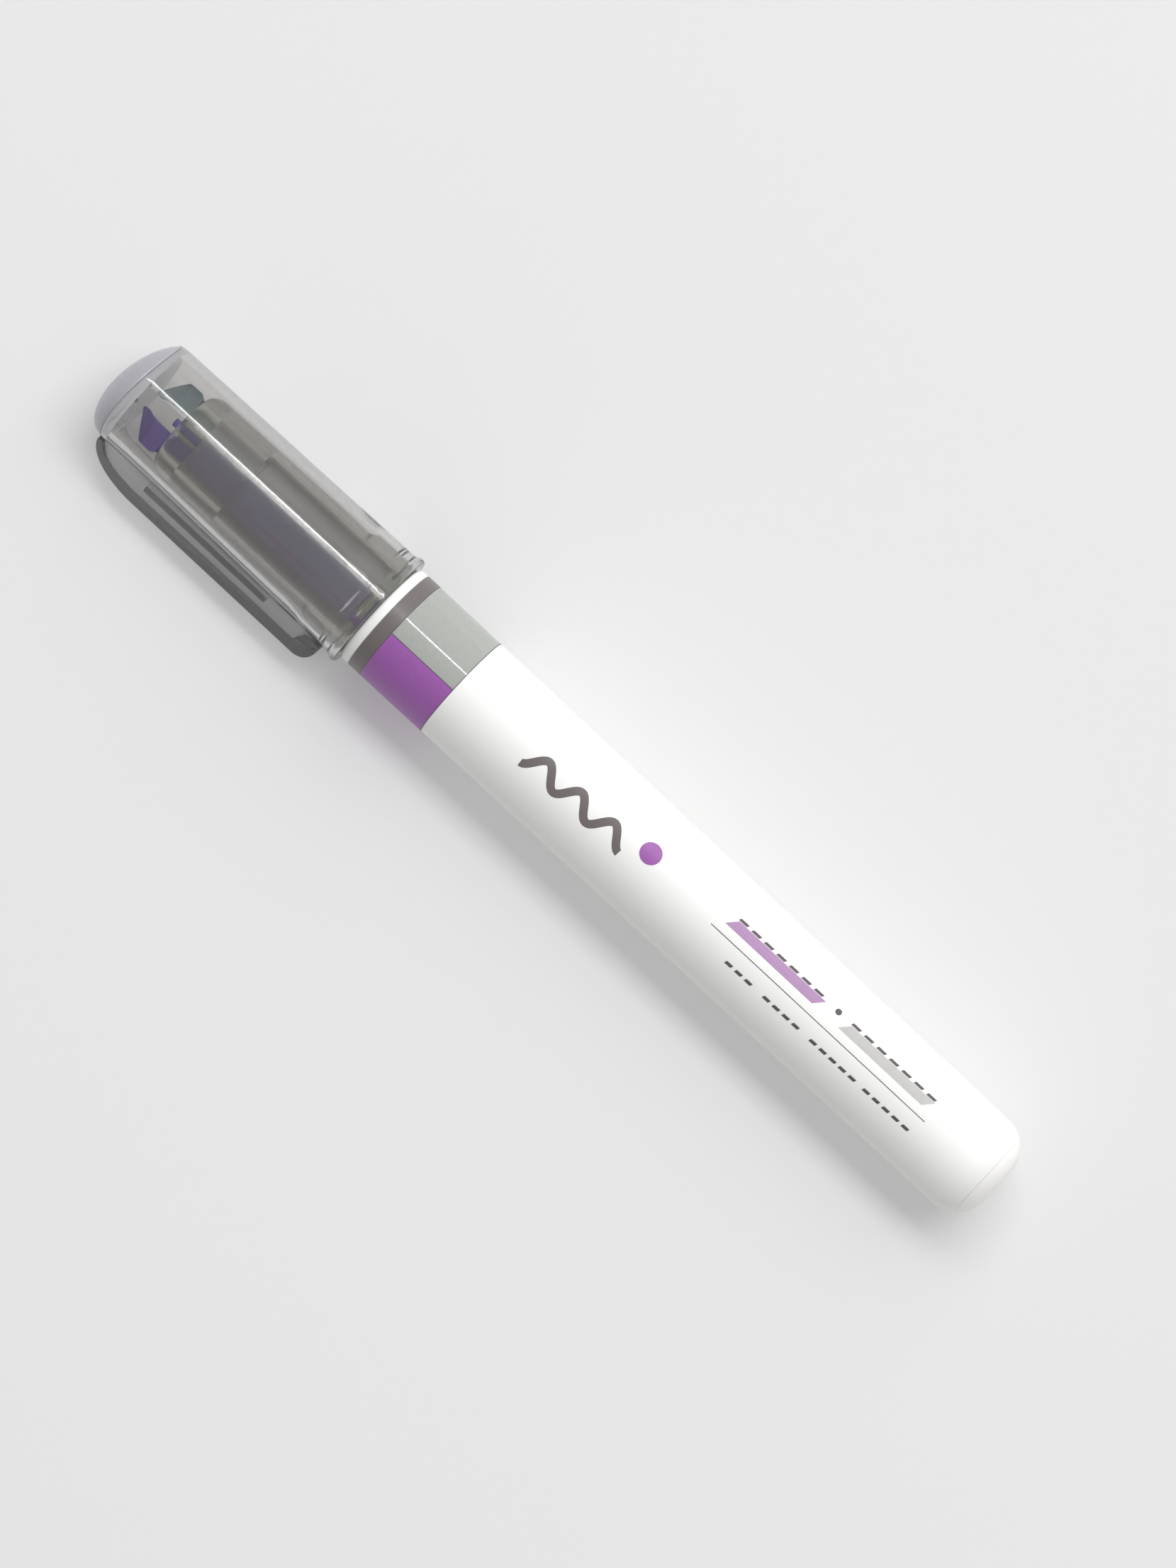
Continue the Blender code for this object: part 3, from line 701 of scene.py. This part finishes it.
def cap_floor():
    """The thick end wall of the cap, a paler, milkier copy of the tube's plastic: painted light for the
    light that shines through the thick end.
    """
    sizes = sizes_now()
    top = CAP_HIGH.x
    floor = top - sizes.cap_end_wall + 0.01 * MM
    rim = crown_radius()
    outline = [(floor, 0.0), (floor, cap_radius(floor))]
    outline += [(top - 0.4 * MM, cap_radius(top) - 0.02 * MM), (top - 0.2 * MM, rim + 0.05 * MM)]
    outline += [(top - 0.05 * MM, rim), (top, rim - 0.05 * MM), (top, 0.0)]
    piece = turned("cap_end_wall", outline, smoke_finish("end"))
    return pocketed(saddled(piece))


def crown_radius():
    """Radius of the dome, a little inside the cap's rim."""
    return CROWN_RADIUS - 0.12 * MM


def saddled(piece):
    """Lets the seam between the cap's end and its dome dip towards the clip and away from it."""
    sizes = sizes_now()
    top = CAP_HIGH.x
    for vertex in piece.data.vertices:
        over = vertex.co.x - top
        depth = sizes.cap_end_wall if over < 0 else sizes.crown_rise * 0.6
        share = max(1 - abs(over) / depth, 0.0)
        out = (vertex.co - AXIS).dot(CLIP_OUT) / CROWN_RADIUS
        vertex.co.x -= sizes.seam_dip * share * out**2
    return piece


def pocketed(piece):
    """Cuts the pocket in which the clip's root tongue turns."""
    room = 0.2 * MM
    half = 0.4 * MM + room
    middle, inner, outer = HINGE_POINT.x, HINGE_POINT_OUT - TONGUE_DEPTH - room, CROWN_RADIUS + 2 * MM
    outline = [
        (middle - half, inner), (middle + half, inner), (middle + half, outer), (middle - half, outer)
    ]
    return combined(piece, "DIFFERENCE", [extruded("pocket", outline, -2.0 * MM, 2.0 * MM)])


def combined(piece, operation, helpers):
    """Cuts helper solids from a piece or joins them to it, and removes them."""
    for helper in helpers:
        change = piece.modifiers.new(helper.name, "BOOLEAN")
        change.operation = operation
        change.object = helper
    settled(piece)
    for helper in helpers:
        bpy.data.objects.remove(helper)
    return piece


def crown():
    """The dome, a little higher over the clip."""
    sizes = sizes_now()
    base = CAP_HIGH.x + 0.03 * MM
    dome = base + sizes.crown_rim
    rim = crown_radius()
    outline = [(base, 0.0), (base, rim - 0.05 * MM), (base + 0.04 * MM, rim)]
    for step in range(25):
        angle = math.radians(90 - 90 * step / 24)
        outline.append((dome + sizes.crown_rise * math.cos(angle) ** 1.4, rim * math.sin(angle)))
    lilac = colours_now().lilac
    milky = kept_finish(milky_plastic, "lilac_smoke_polypropylene", lilac)
    piece = turned("cap_end", outline, milky)
    for vertex in piece.data.vertices:
        height = vertex.co.x - dome
        if height > 0:
            towards_clip = (vertex.co - AXIS).dot(CLIP_OUT)
            share = math.sqrt(height / (sizes.crown_rise + sizes.crown_rim))
            vertex.co.x += sizes.crown_lean * towards_clip * share
    return pocketed(saddled(piece))


class MARKER_OT_clip(bpy.types.Operator):
    """Build the pocket clip"""

    bl_idname = "marker.clip"
    bl_label = "Pocket Clip"

    def execute(self, context):
        dress(pocket_clip(), smoke_finish("clip"), "pocket_clip", "smoke_plastic", "clip")
        return {"FINISHED"}


def extruded(name, outline, low, high, bevel=0.0):
    """A flat (x, out) outline made solid across the clip, with softened edges."""
    shape = bmesh.new()
    rings = [
        [shape.verts.new(Vector((x, 0, 0)) + AXIS + CLIP_OUT * out + CLIP_ACROSS * across)
         for x, out in outline]
        for across in (low, high)
    ]
    loft(shape, rings)
    for ring in rings:
        shape.faces.new(ring)
    return bevelled(name, shape, bevel, 4, 40)


def loft(shape, rings):
    """Joins each closed ring of corners to the next one by faces."""
    for first, second in zip(rings, rings[1:]):
        for index in range(len(first)):
            following = (index + 1) % len(first)
            shape.faces.new((first[index], first[following], second[following], second[index]))


def mesh_of(name, shape):
    mesh = bpy.data.meshes.new(name)
    shape.to_mesh(mesh)
    shape.free()
    return mesh


def bevelled(name, shape, width, segments, degrees):
    """An object of a shape, with a bevel where its faces meet at more than an angle."""
    bmesh.ops.recalc_face_normals(shape, faces=shape.faces[:])
    obj = linked(name, mesh_of(name, shape))
    if width:
        soften = obj.modifiers.new("soften", "BEVEL")
        soften.width = width
        soften.segments = segments
        soften.limit_method = "ANGLE"
        soften.angle_limit = math.radians(degrees)
    return obj


def pocket_clip():
    """The clip: a bent blade, a rib under it and the tongue at its root."""
    sizes = sizes_now()
    clip_low, clip_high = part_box("clip")
    corner = sizes.clip_width / 2
    reach = ((clip_high - AXIS).y - corner * CLIP_ACROSS.y) / CLIP_OUT.y
    inner = reach - sizes.clip_thickness
    root = CROWN_RADIUS + 0.1 * MM
    start = clip_high.x - 0.15 * MM
    bend = start - sizes.clip_bend
    tip = clip_low.x
    pad = cap_radius(tip) + sizes.clip_gap
    rise = reach - root
    outline = arc((bend, root), (sizes.clip_bend, rise), 0, 90, 24)
    tip_round = 2.2 * MM
    outline += arc((tip + tip_round, reach - tip_round), (tip_round, tip_round), 90, 180, 12)
    outline += [(tip, pad + 0.5 * MM), (tip + 0.12 * MM, pad + 0.12 * MM), (tip + 0.5 * MM, pad)]
    outline += [(tip + 2.1 * MM, pad), (tip + 2.35 * MM, pad + 0.25 * MM), (tip + 2.9 * MM, inner)]
    outline += [(bend, inner)]
    outline += arc((bend, root), (sizes.clip_bend - 0.8 * MM, rise - sizes.clip_thickness), 90, 0, 20)[1:]
    blade = extruded("clip_blade", outline, -corner, corner, 0.3 * MM)
    tongue = [
        (start - 0.72 * MM, HINGE_POINT_OUT - TONGUE_DEPTH),
        (start + 0.02 * MM, HINGE_POINT_OUT - TONGUE_DEPTH),
        (start + 0.02 * MM, root + 0.5 * MM), (start - 0.72 * MM, root + 0.5 * MM),
    ]
    rib = [
        (tip + 8.5 * MM, inner + 0.4 * MM), (tip + 8.5 * MM, inner - 0.5 * MM),
        (tip + 9.0 * MM, inner - 0.8 * MM), (bend, inner - 0.8 * MM), (bend, inner + 0.4 * MM),
    ]
    helpers = [
        extruded("tongue", tongue, -1.8 * MM, 1.8 * MM), extruded("rib", rib, -1.0 * MM, 1.0 * MM)
    ]
    return combined(blade, "UNION", helpers)


class MARKER_OT_nose(bpy.types.Operator):
    """Build the front section, nib holder, nibs and feeds"""

    bl_idname = "marker.nose"
    bl_label = "Nose, Nibs and Feeds"

    def execute(self, context):
        colours = context.scene.marker_colours
        nose = front_section()
        lit_from_inside(nose)
        dress(nose, None, "pen_body", "smoke_plastic", "front_section")
        shell = turned("holder_shell", holder_outline(), smoke_finish("holder"))
        lit_from_inside(shell)
        dress(shell, None, "pen_body", "holder_plastic", "nib_holder")
        web = kept_finish(moulded_satin, "holder_web_satin", colours.core)
        dress(holder_web(), web, "pen_body", "holder_plastic", "nib_holder")
        for side, tone in ((1, "violet"), (-1, "grey")):
            felt = kept_finish(ink_felt, tone + "_felt", getattr(colours, tone + "_felt"))
            dress(nib(tone, side), felt, "pen_body", tone + "_felt", tone + "_nib")
            fibre = kept_finish(ink_felt, tone + "_fibre", getattr(colours, tone + "_fibre"))
            dress(feed(tone), fibre, "pen_body", tone + "_fibre", tone + "_feed")
            repaint(frame["nodes"][tone + "_reservoir"], fibre)
            repaint(frame["nodes"][tone + "_reservoir_film"], smoke_finish("film"))
        repaint(frame["nodes"]["reservoir_divider"], white_finish())
        return {"FINISHED"}


def repaint(node, material):
    """Gives a model node a better finish in its own slots."""
    if not node.material_slots:
        node.data.materials.append(material)
    for slot in node.material_slots:
        slot.material = material


def front_section():
    """The see-through nose, hollow for the nib holder and open round the nibs."""
    sizes = sizes_now()
    shoulder = COLLAR_HIGH.x + 0.1 * MM
    neck = BARREL_RADIUS - sizes.barrel_wall - 0.05 * MM
    bore = HOLDER_RADIUS + 0.05 * MM
    air = 0.35 * MM
    seat_end = CAP_LOW.x + sizes.cap_seat - air
    slim = cap_radius(seat_end) - sizes.cap_wall - air
    nose = FRONT_HIGH.x
    nose_slim = cap_radius(nose) - sizes.cap_wall - air
    step = FEED_HIGH.x + 0.05 * MM
    outline = [(FRONT_LOW.x, bore), (FRONT_LOW.x, neck - 0.2 * MM), (FRONT_LOW.x + 0.2 * MM, neck)]
    outline += [(shoulder, neck), (shoulder, FRONT_RADIUS - 0.1 * MM), (shoulder + 0.1 * MM, FRONT_RADIUS)]
    outline += [(seat_end - 0.3 * MM, FRONT_RADIUS), (seat_end, FRONT_RADIUS - 0.08 * MM)]
    outline += [(seat_end + 0.5 * MM, slim + 0.2 * MM), (seat_end + 1.1 * MM, slim)]
    outline += arc((nose - 2.1 * MM, 3.9 * MM), (2.1 * MM, nose_slim - 3.9 * MM), 90, 0, 14)
    outline += [
        (nose, 3.45 * MM), (nose - 0.1 * MM, 3.35 * MM),
        (HOLDER_FRONT + 0.1 * MM, 3.35 * MM), (HOLDER_FRONT + 0.1 * MM, 3.75 * MM),
        (step, 3.75 * MM), (step, bore),
    ]
    return turned("nose_section", outline, smoke_finish("nose"))


def holder_outline():
    """The sleeve of the nib holder, stepped down for its slim front."""
    step = FEED_HIGH.x - 0.05 * MM
    rear = HOLDER_LOW.x
    outer, slim = HOLDER_RADIUS, 3.7 * MM
    wall = 0.4 * MM
    return rounded(
        [
            (rear, outer - wall, 0), (rear, outer, 0.1 * MM), (step, outer, 0.15 * MM),
            (step, slim, 0.2 * MM), (HOLDER_FRONT, slim, 0.3 * MM),
            (HOLDER_FRONT, slim - 0.9 * MM, 0.1 * MM),
            (HOLDER_FRONT - wall, slim - 0.9 * MM, 0.1 * MM), (HOLDER_FRONT - wall, slim - wall, 0.1 * MM),
            (step - wall, slim - wall, 0.1 * MM), (step - wall, outer - wall, 0.2 * MM),
        ]
    )


def holder_web():
    """The web that keeps the two inks apart, with the tongue between the nibs."""
    step = FEED_HIGH.x - 0.1 * MM
    slabs = (
        (HOLDER_LOW.x + 0.1 * MM, step, -1.3, 1.8, 2.4),
        (step - 0.2 * MM, HOLDER_FRONT - 0.5 * MM, -0.84, 0.84, 2.2),
        (HOLDER_FRONT - 0.7 * MM, HOLDER_HIGH.x + 0.6 * MM, -0.5, 0.5, 1.2),
    )
    shape = bmesh.new()
    for low, high, grey_side, violet_side, half_depth in slabs:
        block(shape, (low, grey_side * MM, -half_depth * MM), (high, violet_side * MM, half_depth * MM))
    return softened("holder_web", shape, 0.18 * MM)


def feed(tone):
    """A fibre bar that carries ink to its nib."""
    low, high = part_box(tone + "_feed")
    low, high = low - AXIS, high - AXIS
    if tone == "violet":
        high.y -= 0.6 * MM
    shape = bmesh.new()
    block(shape, low, high)
    return softened(tone + "_feed_bar", shape, 0.3 * MM)


def block(shape, low, high):
    """A box of fine slices along the pen, between two corners measured from its axis."""
    rows = []
    for step in range(9):
        x = low[0] + (high[0] - low[0]) * step / 8
        loop = ((low[1], low[2]), (high[1], low[2]), (high[1], high[2]), (low[1], high[2]))
        rows.append([shape.verts.new(AXIS + Vector((x, y, z))) for y, z in loop])
    loft(shape, rows)
    shape.faces.new(rows[0])
    shape.faces.new(rows[-1])


def softened(name, shape, radius):
    """Makes a piece of a shape, with its edges rounded."""
    return settled(bevelled(name, shape, radius, 3, 28))


def nib(tone, side):
    """A felt chisel nib with softened edges.

    A station is its x, its inner and outer side, and its half thickness at each, in millimetres.
    """
    low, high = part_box("violet_nib")
    tip = high.x
    inner = low.y - AXIS.y
    outer = high.y - AXIS.y
    width = outer - inner
    chamfer = width / 8
    back = tip - 4.6 * MM
    neck = back - 3.4 * MM
    tail_inner = inner + 0.05 * MM
    tail_outer = tail_inner + 1.8 * MM
    hollow = inner + chamfer
    slant = 2.1 * MM
    stations = [
        (low.x, tail_inner, tail_outer, 1.2, 1.2),
        (neck, tail_inner, tail_outer, 1.2, 1.2),
        (back - 0.02 * MM, hollow, tail_outer + 0.1 * MM, 1.5, 1.5),
        (back + 0.02 * MM, hollow, outer - chamfer, 1.5, 1.5),
        (back + 1.2 * chamfer, hollow, outer, 1.5, 1.5),
        (tip - slant - chamfer, hollow, outer, 1.5, 1.22),
        (tip - slant, hollow - 0.02 * MM, outer - 0.25 * chamfer, 1.42, 0.62),
        (tip - slant * 0.66, hollow - 0.1 * MM, inner + width * 0.70, 1.15, 0.56),
        (tip - slant * 0.36, inner + 0.08 * MM, inner + width * 0.42, 0.88, 0.55),
        (tip - slant * 0.12, inner + 0.1 * MM, inner + width * 0.20, 0.63, 0.55),
        (tip, inner + 0.25 * MM, inner + width * 0.12, 0.5, 0.5),
    ]
    shape = bmesh.new()
    rings = []
    across = 8
    for x, near, far, near_half, far_half in stations:
        points = []
        for step in range(across + 1):
            share = step / across
            half = (near_half + (far_half - near_half) * share) * MM
            points.append((near + (far - near) * share, half))
        loop = points + [(y, -half) for y, half in reversed(points)]
        rings.append([shape.verts.new((x, AXIS.y + side * y, AXIS.z + z)) for y, z in loop])
    loft(shape, rings)
    for ring in (rings[0], rings[-1]):
        for step in range(across):
            opposite = len(ring) - 1 - step
            shape.faces.new((ring[step], ring[step + 1], ring[opposite - 1], ring[opposite]))
    return softened(tone + "_nib_felt", shape, 0.16 * MM)


# --- Print ---


def patch(shape, corners, along, round_):
    """Fills a four-cornered flat area with a grid of faces; corners go round it."""
    grid = []
    for i in range(along + 1):
        column = []
        for j in range(round_ + 1):
            low = Vector(corners[0]).lerp(Vector(corners[1]), i / along)
            high = Vector(corners[3]).lerp(Vector(corners[2]), i / along)
            x, y = low.lerp(high, j / round_)
            column.append(shape.verts.new((x, y, 0.0)))
        grid.append(column)
    for i in range(along):
        for j in range(round_):
            shape.faces.new((grid[i][j], grid[i + 1][j], grid[i + 1][j + 1], grid[i][j + 1]))


def ribbon(shape, points, width):
    """A stroke of even width along a list of flat points."""
    rows = []
    for index, point in enumerate(points):
        before = Vector(points[max(index - 1, 0)])
        after = Vector(points[min(index + 1, len(points) - 1)])
        along = (after - before).normalized()
        beside = Vector((-along.y, along.x)) * width / 2
        here = Vector(point)
        row = [here + beside * side for side in (-1.0, -0.33, 0.33, 1.0)]
        rows.append([shape.verts.new((spot.x, spot.y, 0.0)) for spot in row])
    for first, second in zip(rows, rows[1:]):
        for side in range(3):
            shape.faces.new((first[side], second[side], second[side + 1], first[side + 1]))


def disc(shape, centre, radius, rings=4, turns=40):
    """A flat round dot."""
    middle = shape.verts.new((*centre, 0.0))
    previous = None
    for ring in range(1, rings + 1):
        circle = []
        for turn in range(turns):
            angle = math.tau * turn / turns
            x = centre[0] + radius * ring / rings * math.cos(angle)
            y = centre[1] + radius * ring / rings * math.sin(angle)
            circle.append(shape.verts.new((x, y, 0.0)))
        for turn in range(turns):
            following = (turn + 1) % turns
            if previous:
                shape.faces.new(
                    (previous[turn], circle[turn], circle[following], previous[following])
                )
            else:
                shape.faces.new((middle, circle[turn], circle[following]))
        previous = circle


def printed(name, draw, finish, lift=INK_DEPTH):
    """Draws flat artwork and lays it on the barrel as a thin layer of ink."""
    shape = bmesh.new()
    draw(shape)
    return wrapped(linked(name, mesh_of(name, shape)), finish, lift)


def wrapped(obj, finish, lift):
    """Wraps an object's flat artwork on the barrel."""
    sizes = sizes_now()
    values = {
        "Rear": TAIL_X + sizes.tail_round, "Front": BARREL_HIGH.x,
        "Rear Radius": sizes.tail_radius, "Front Radius": BARREL_RADIUS,
        "Lift": lift, "Thickness": INK_DEPTH, "Axis": AXIS, "Material": finish,
    }
    grow(obj, kept_tree("Wrapped print", wrapped_tree), values)
    return dress(settled(obj), None, "pen_body", "white_plastic")


ROUND = 160


def degrees_round(angle):
    """Distance round the barrel for an angle from the top towards the clip's side."""
    return math.radians(angle) * BARREL_RADIUS


class MARKER_OT_print(bpy.types.Operator):
    """Print the bands, panels, chips and marks on the barrel"""

    bl_idname = "marker.print"
    bl_label = "Printed Bands and Marks"

    def execute(self, context):
        colours = context.scene.marker_colours
        roughness = {"dark": 0.35, "violet": 0.4, "fine": 0.4, "grey": 0.07}
        roughness.update(pale_violet=0.45, pale_grey=0.45)
        inks = {
            tone: kept_finish(print_ink, tone + "_print_ink", getattr(colours, tone + "_ink"), rough)
            for tone, rough in roughness.items()
        }
        front = BARREL_HIGH.x
        panel = front - 1.75 * MM
        end = front - 11.35 * MM
        split = 7.0

        def area(low, high, first, last, round_):
            start, stop = degrees_round(first), degrees_round(last)
            corners = ((low, start), (high, start), (high, stop), (low, stop))
            return lambda shape: patch(shape, corners, 4, round_)

        printed("print_dark_band", area(panel, front, 0, 360, ROUND), inks["dark"])
        printed("print_violet_panel", area(end, panel, split, split + 180, ROUND // 2), inks["violet"])
        printed("print_grey_panel", area(end, panel, split - 180, split, ROUND // 2), inks["grey"])
        line = 0.09 * MM
        edges = (
            (panel - line, panel, -180.0, 180.0), (end, end + line, -180.0, 180.0),
            (end, panel, split - 0.4, split + 0.4), (end, panel, split + 179.6, split + 180.4),
        )
        for number, (low, high, first, last) in enumerate(edges):
            draw = area(low, high, first, last, ROUND if last - first > 10 else 1)
            printed(f"print_keyline_{number}", draw, inks["fine"], SECOND_INK_LIFT)
        print_marks(inks)
        return {"FINISHED"}


def print_marks(inks):
    """Plain marks that say nothing: a wave, a dot, two colour chips, a rule and rows of dashes."""
    fine = inks["fine"]

    def wave(shape):
        points = []
        for step in range(181):
            share = step / 180
            x = TAIL_X + (72.4 - 15.2 * share) * MM
            points.append((x, (0.5 + 1.15 * math.cos(math.tau * 3.0 * share)) * MM))
        ribbon(shape, points, 1.0 * MM)

    printed("print_wave", wave, inks["dark"])
    dot = (TAIL_X + 54.4 * MM, -0.9 * MM)
    printed("print_dot", lambda shape: disc(shape, dot, 1.35 * MM), inks["violet"])
    small = (TAIL_X + 26.6 * MM, -2.35 * MM)
    printed("print_small_dot", lambda shape: disc(shape, small, 0.4 * MM), fine)
    for name, start, stop in (("violet", 42.9, 28.4), ("grey", 25.5, 11.5)):
        corners = [
            (TAIL_X + x * MM, y * MM)
            for x, y in ((stop + 1.1, -0.9), (start, -0.9), (start - 1.1, -2.2), (stop, -2.2))
        ]
        printed(
            f"print_{name}_chip", lambda shape, corners=corners: patch(shape, corners, 20, 4),
            inks["pale_" + name],
        )
        dashes = (TAIL_X + (start - 1.6) * MM, -2.45 * MM, -1.93 * MM, 7, 1.25 * MM, 0.36 * MM, 0.5)
        printed_row(f"print_{name}_dashes", dashes, fine)
    rule = [(TAIL_X + x * MM, 0.3 * MM) for x in (44.0, 33.0, 22.0, 11.0)]
    printed("print_rule", lambda shape: ribbon(shape, rule, 0.1 * MM), fine)
    for number, (start, count) in enumerate(((39.4, 3), (33.6, 4), (26.4, 5), (18.2, 5))):
        dashes = (TAIL_X + start * MM, 2.45 * MM, -1.5 * MM, count, 0.95 * MM, 0.4 * MM, 0.4)
        printed_row(f"print_dashes_{number}", dashes, fine)


def printed_row(name, dashes, finish):
    """Prints a row of like dashes."""
    labels = ("Start", "Height", "Pitch", "Count", "Length", "Width", "Slant", "Material")
    obj = linked(name, bpy.data.meshes.new(name))
    grow(obj, kept_tree("Dash row", dash_row_tree), dict(zip(labels, (*dashes, finish))))
    return wrapped(obj, finish, SECOND_INK_LIFT)


# --- Stage ---


class MARKER_OT_stage(bpy.types.Operator):
    """Set up the floor, the lights and the camera"""

    bl_idname = "marker.stage"
    bl_label = "Floor, Light and Camera"

    def execute(self, context):
        settings = context.scene.marker_stage
        make_floor(settings)
        make_lights(context.scene)
        make_camera(context.scene, settings)
        context.scene.view_settings.view_transform = "Standard"
        return {"FINISHED"}


def make_floor(settings):
    """A plain floor that the marker lies on."""
    mesh = bpy.data.meshes.new("floor")
    half = 3.0
    mesh.from_pydata(
        [(-half, -half, 0), (half, -half, 0), (half, half, 0), (-half, half, 0)], [], [(0, 1, 2, 3)]
    )
    floor = linked("floor", mesh)
    mesh.materials.append(studio_paper(settings.floor))


def area_light(name, place, size, power):
    """A rectangle of light turned to the marker; its size is in metres and its power in watts."""
    data = bpy.data.lights.new(name, "AREA")
    data.shape = "RECTANGLE"
    data.size, data.size_y = size
    data.energy = power
    light = linked(name, data)
    light.location = place
    light.rotation_euler = (-Vector(place)).to_track_quat("-Z", "Y").to_euler()
    return light


def make_lights(scene):
    """A soft room, a big window overhead and a key at one side, with a thin tube for the glint.

    The window is in two shares at one place, and only the first goes through clear plastic. The
    window and the fill are shadowed by the floor alone, and the fill falls only on its receivers.
    """
    world = bpy.data.worlds.new("soft_room")
    scene.world = world
    world.use_nodes = True
    room = world.node_tree.nodes["Background"].inputs
    room["Color"].default_value = (1, 1, 1, 1)
    room["Strength"].default_value = 0.41
    window_place, window_size = (0.0, -2.0, 2.0), (3.0, 3.0)
    window = area_light("window", window_place, window_size, 24.0)
    blind = area_light("window_blind", window_place, window_size, 36.0)
    key = area_light("key", (0.0, -0.8, 1.64), (1.8, 0.45), 10.6)
    fill = area_light("fill", (-1.4, 0.7, 1.3), (1.5, 1.5), 38.0)
    tube = area_light("tube", (0.0, -0.76, 1.558), (1.8, 0.06), 9.0)
    blockers = bpy.data.collections.new("window_blockers")
    blockers.objects.link(bpy.data.objects["floor"])
    for light in (window, blind, fill):
        light.light_linking.blocker_collection = blockers
    fill.light_linking.receiver_collection = bpy.data.collections.new("fill_receivers")
    for light in (window, blind, fill, key):
        light.visible_glossy = False
    blind.visible_transmission = False
    tube.visible_diffuse = False


def make_camera(scene, settings):
    """A far camera over the marker, turned so that the pen lies across the picture."""
    data = bpy.data.cameras.new("camera")
    camera = linked("camera", data)
    scene.camera = camera
    data.sensor_fit = "VERTICAL"
    data.sensor_height = 36.0
    data.lens = data.sensor_height / 2 / (settings.view_height / 2 / settings.camera_distance)
    data.clip_start = 0.01
    target = Vector((TAIL_X + 65.4 * MM, AXIS.y - 1.8 * MM, AXIS.z))
    lean = settings.camera_lean
    back = Vector((-math.sin(lean), 0.0, math.cos(lean)))
    turn = settings.camera_turn
    up = Vector((math.sin(turn), -math.cos(turn), 0.0))
    up = (up - back * up.dot(back)).normalized()
    right = up.cross(back)
    pose = Matrix((right, up, back)).transposed().to_4x4()
    pose.translation = target + back * settings.camera_distance
    camera.matrix_world = pose


class MARKER_PT_panel(bpy.types.Panel):
    """Lists the operators that build the marker"""

    bl_label = "Felt Marker"
    bl_idname = "MARKER_PT_panel"
    bl_space_type = "VIEW_3D"
    bl_region_type = "UI"
    bl_category = "Marker"

    def draw(self, context):
        for operator in OPERATORS:
            self.layout.operator(operator.bl_idname)


GROUPS = (
    (MarkerSizes, "marker_sizes"),
    (MarkerColours, "marker_colours"),
    (StageSettings, "marker_stage"),
)
OPERATORS = (
    MARKER_OT_stage, MARKER_OT_barrel, MARKER_OT_print, MARKER_OT_nose, MARKER_OT_cap, MARKER_OT_clip,
)


def register():
    for group, name in GROUPS:
        bpy.utils.register_class(group)
        setattr(bpy.types.Scene, name, bpy.props.PointerProperty(type=group))
    for operator in OPERATORS:
        bpy.utils.register_class(operator)
    bpy.utils.register_class(MARKER_PT_panel)


def unregister():
    bpy.utils.unregister_class(MARKER_PT_panel)
    for operator in reversed(OPERATORS):
        bpy.utils.unregister_class(operator)
    for group, name in reversed(GROUPS):
        delattr(bpy.types.Scene, name)
        bpy.utils.unregister_class(group)


def main():
    register()
    for operator in OPERATORS:
        kind, name = operator.bl_idname.split(".")
        getattr(getattr(bpy.ops, kind), name)()


if __name__ == "__main__":
    main()
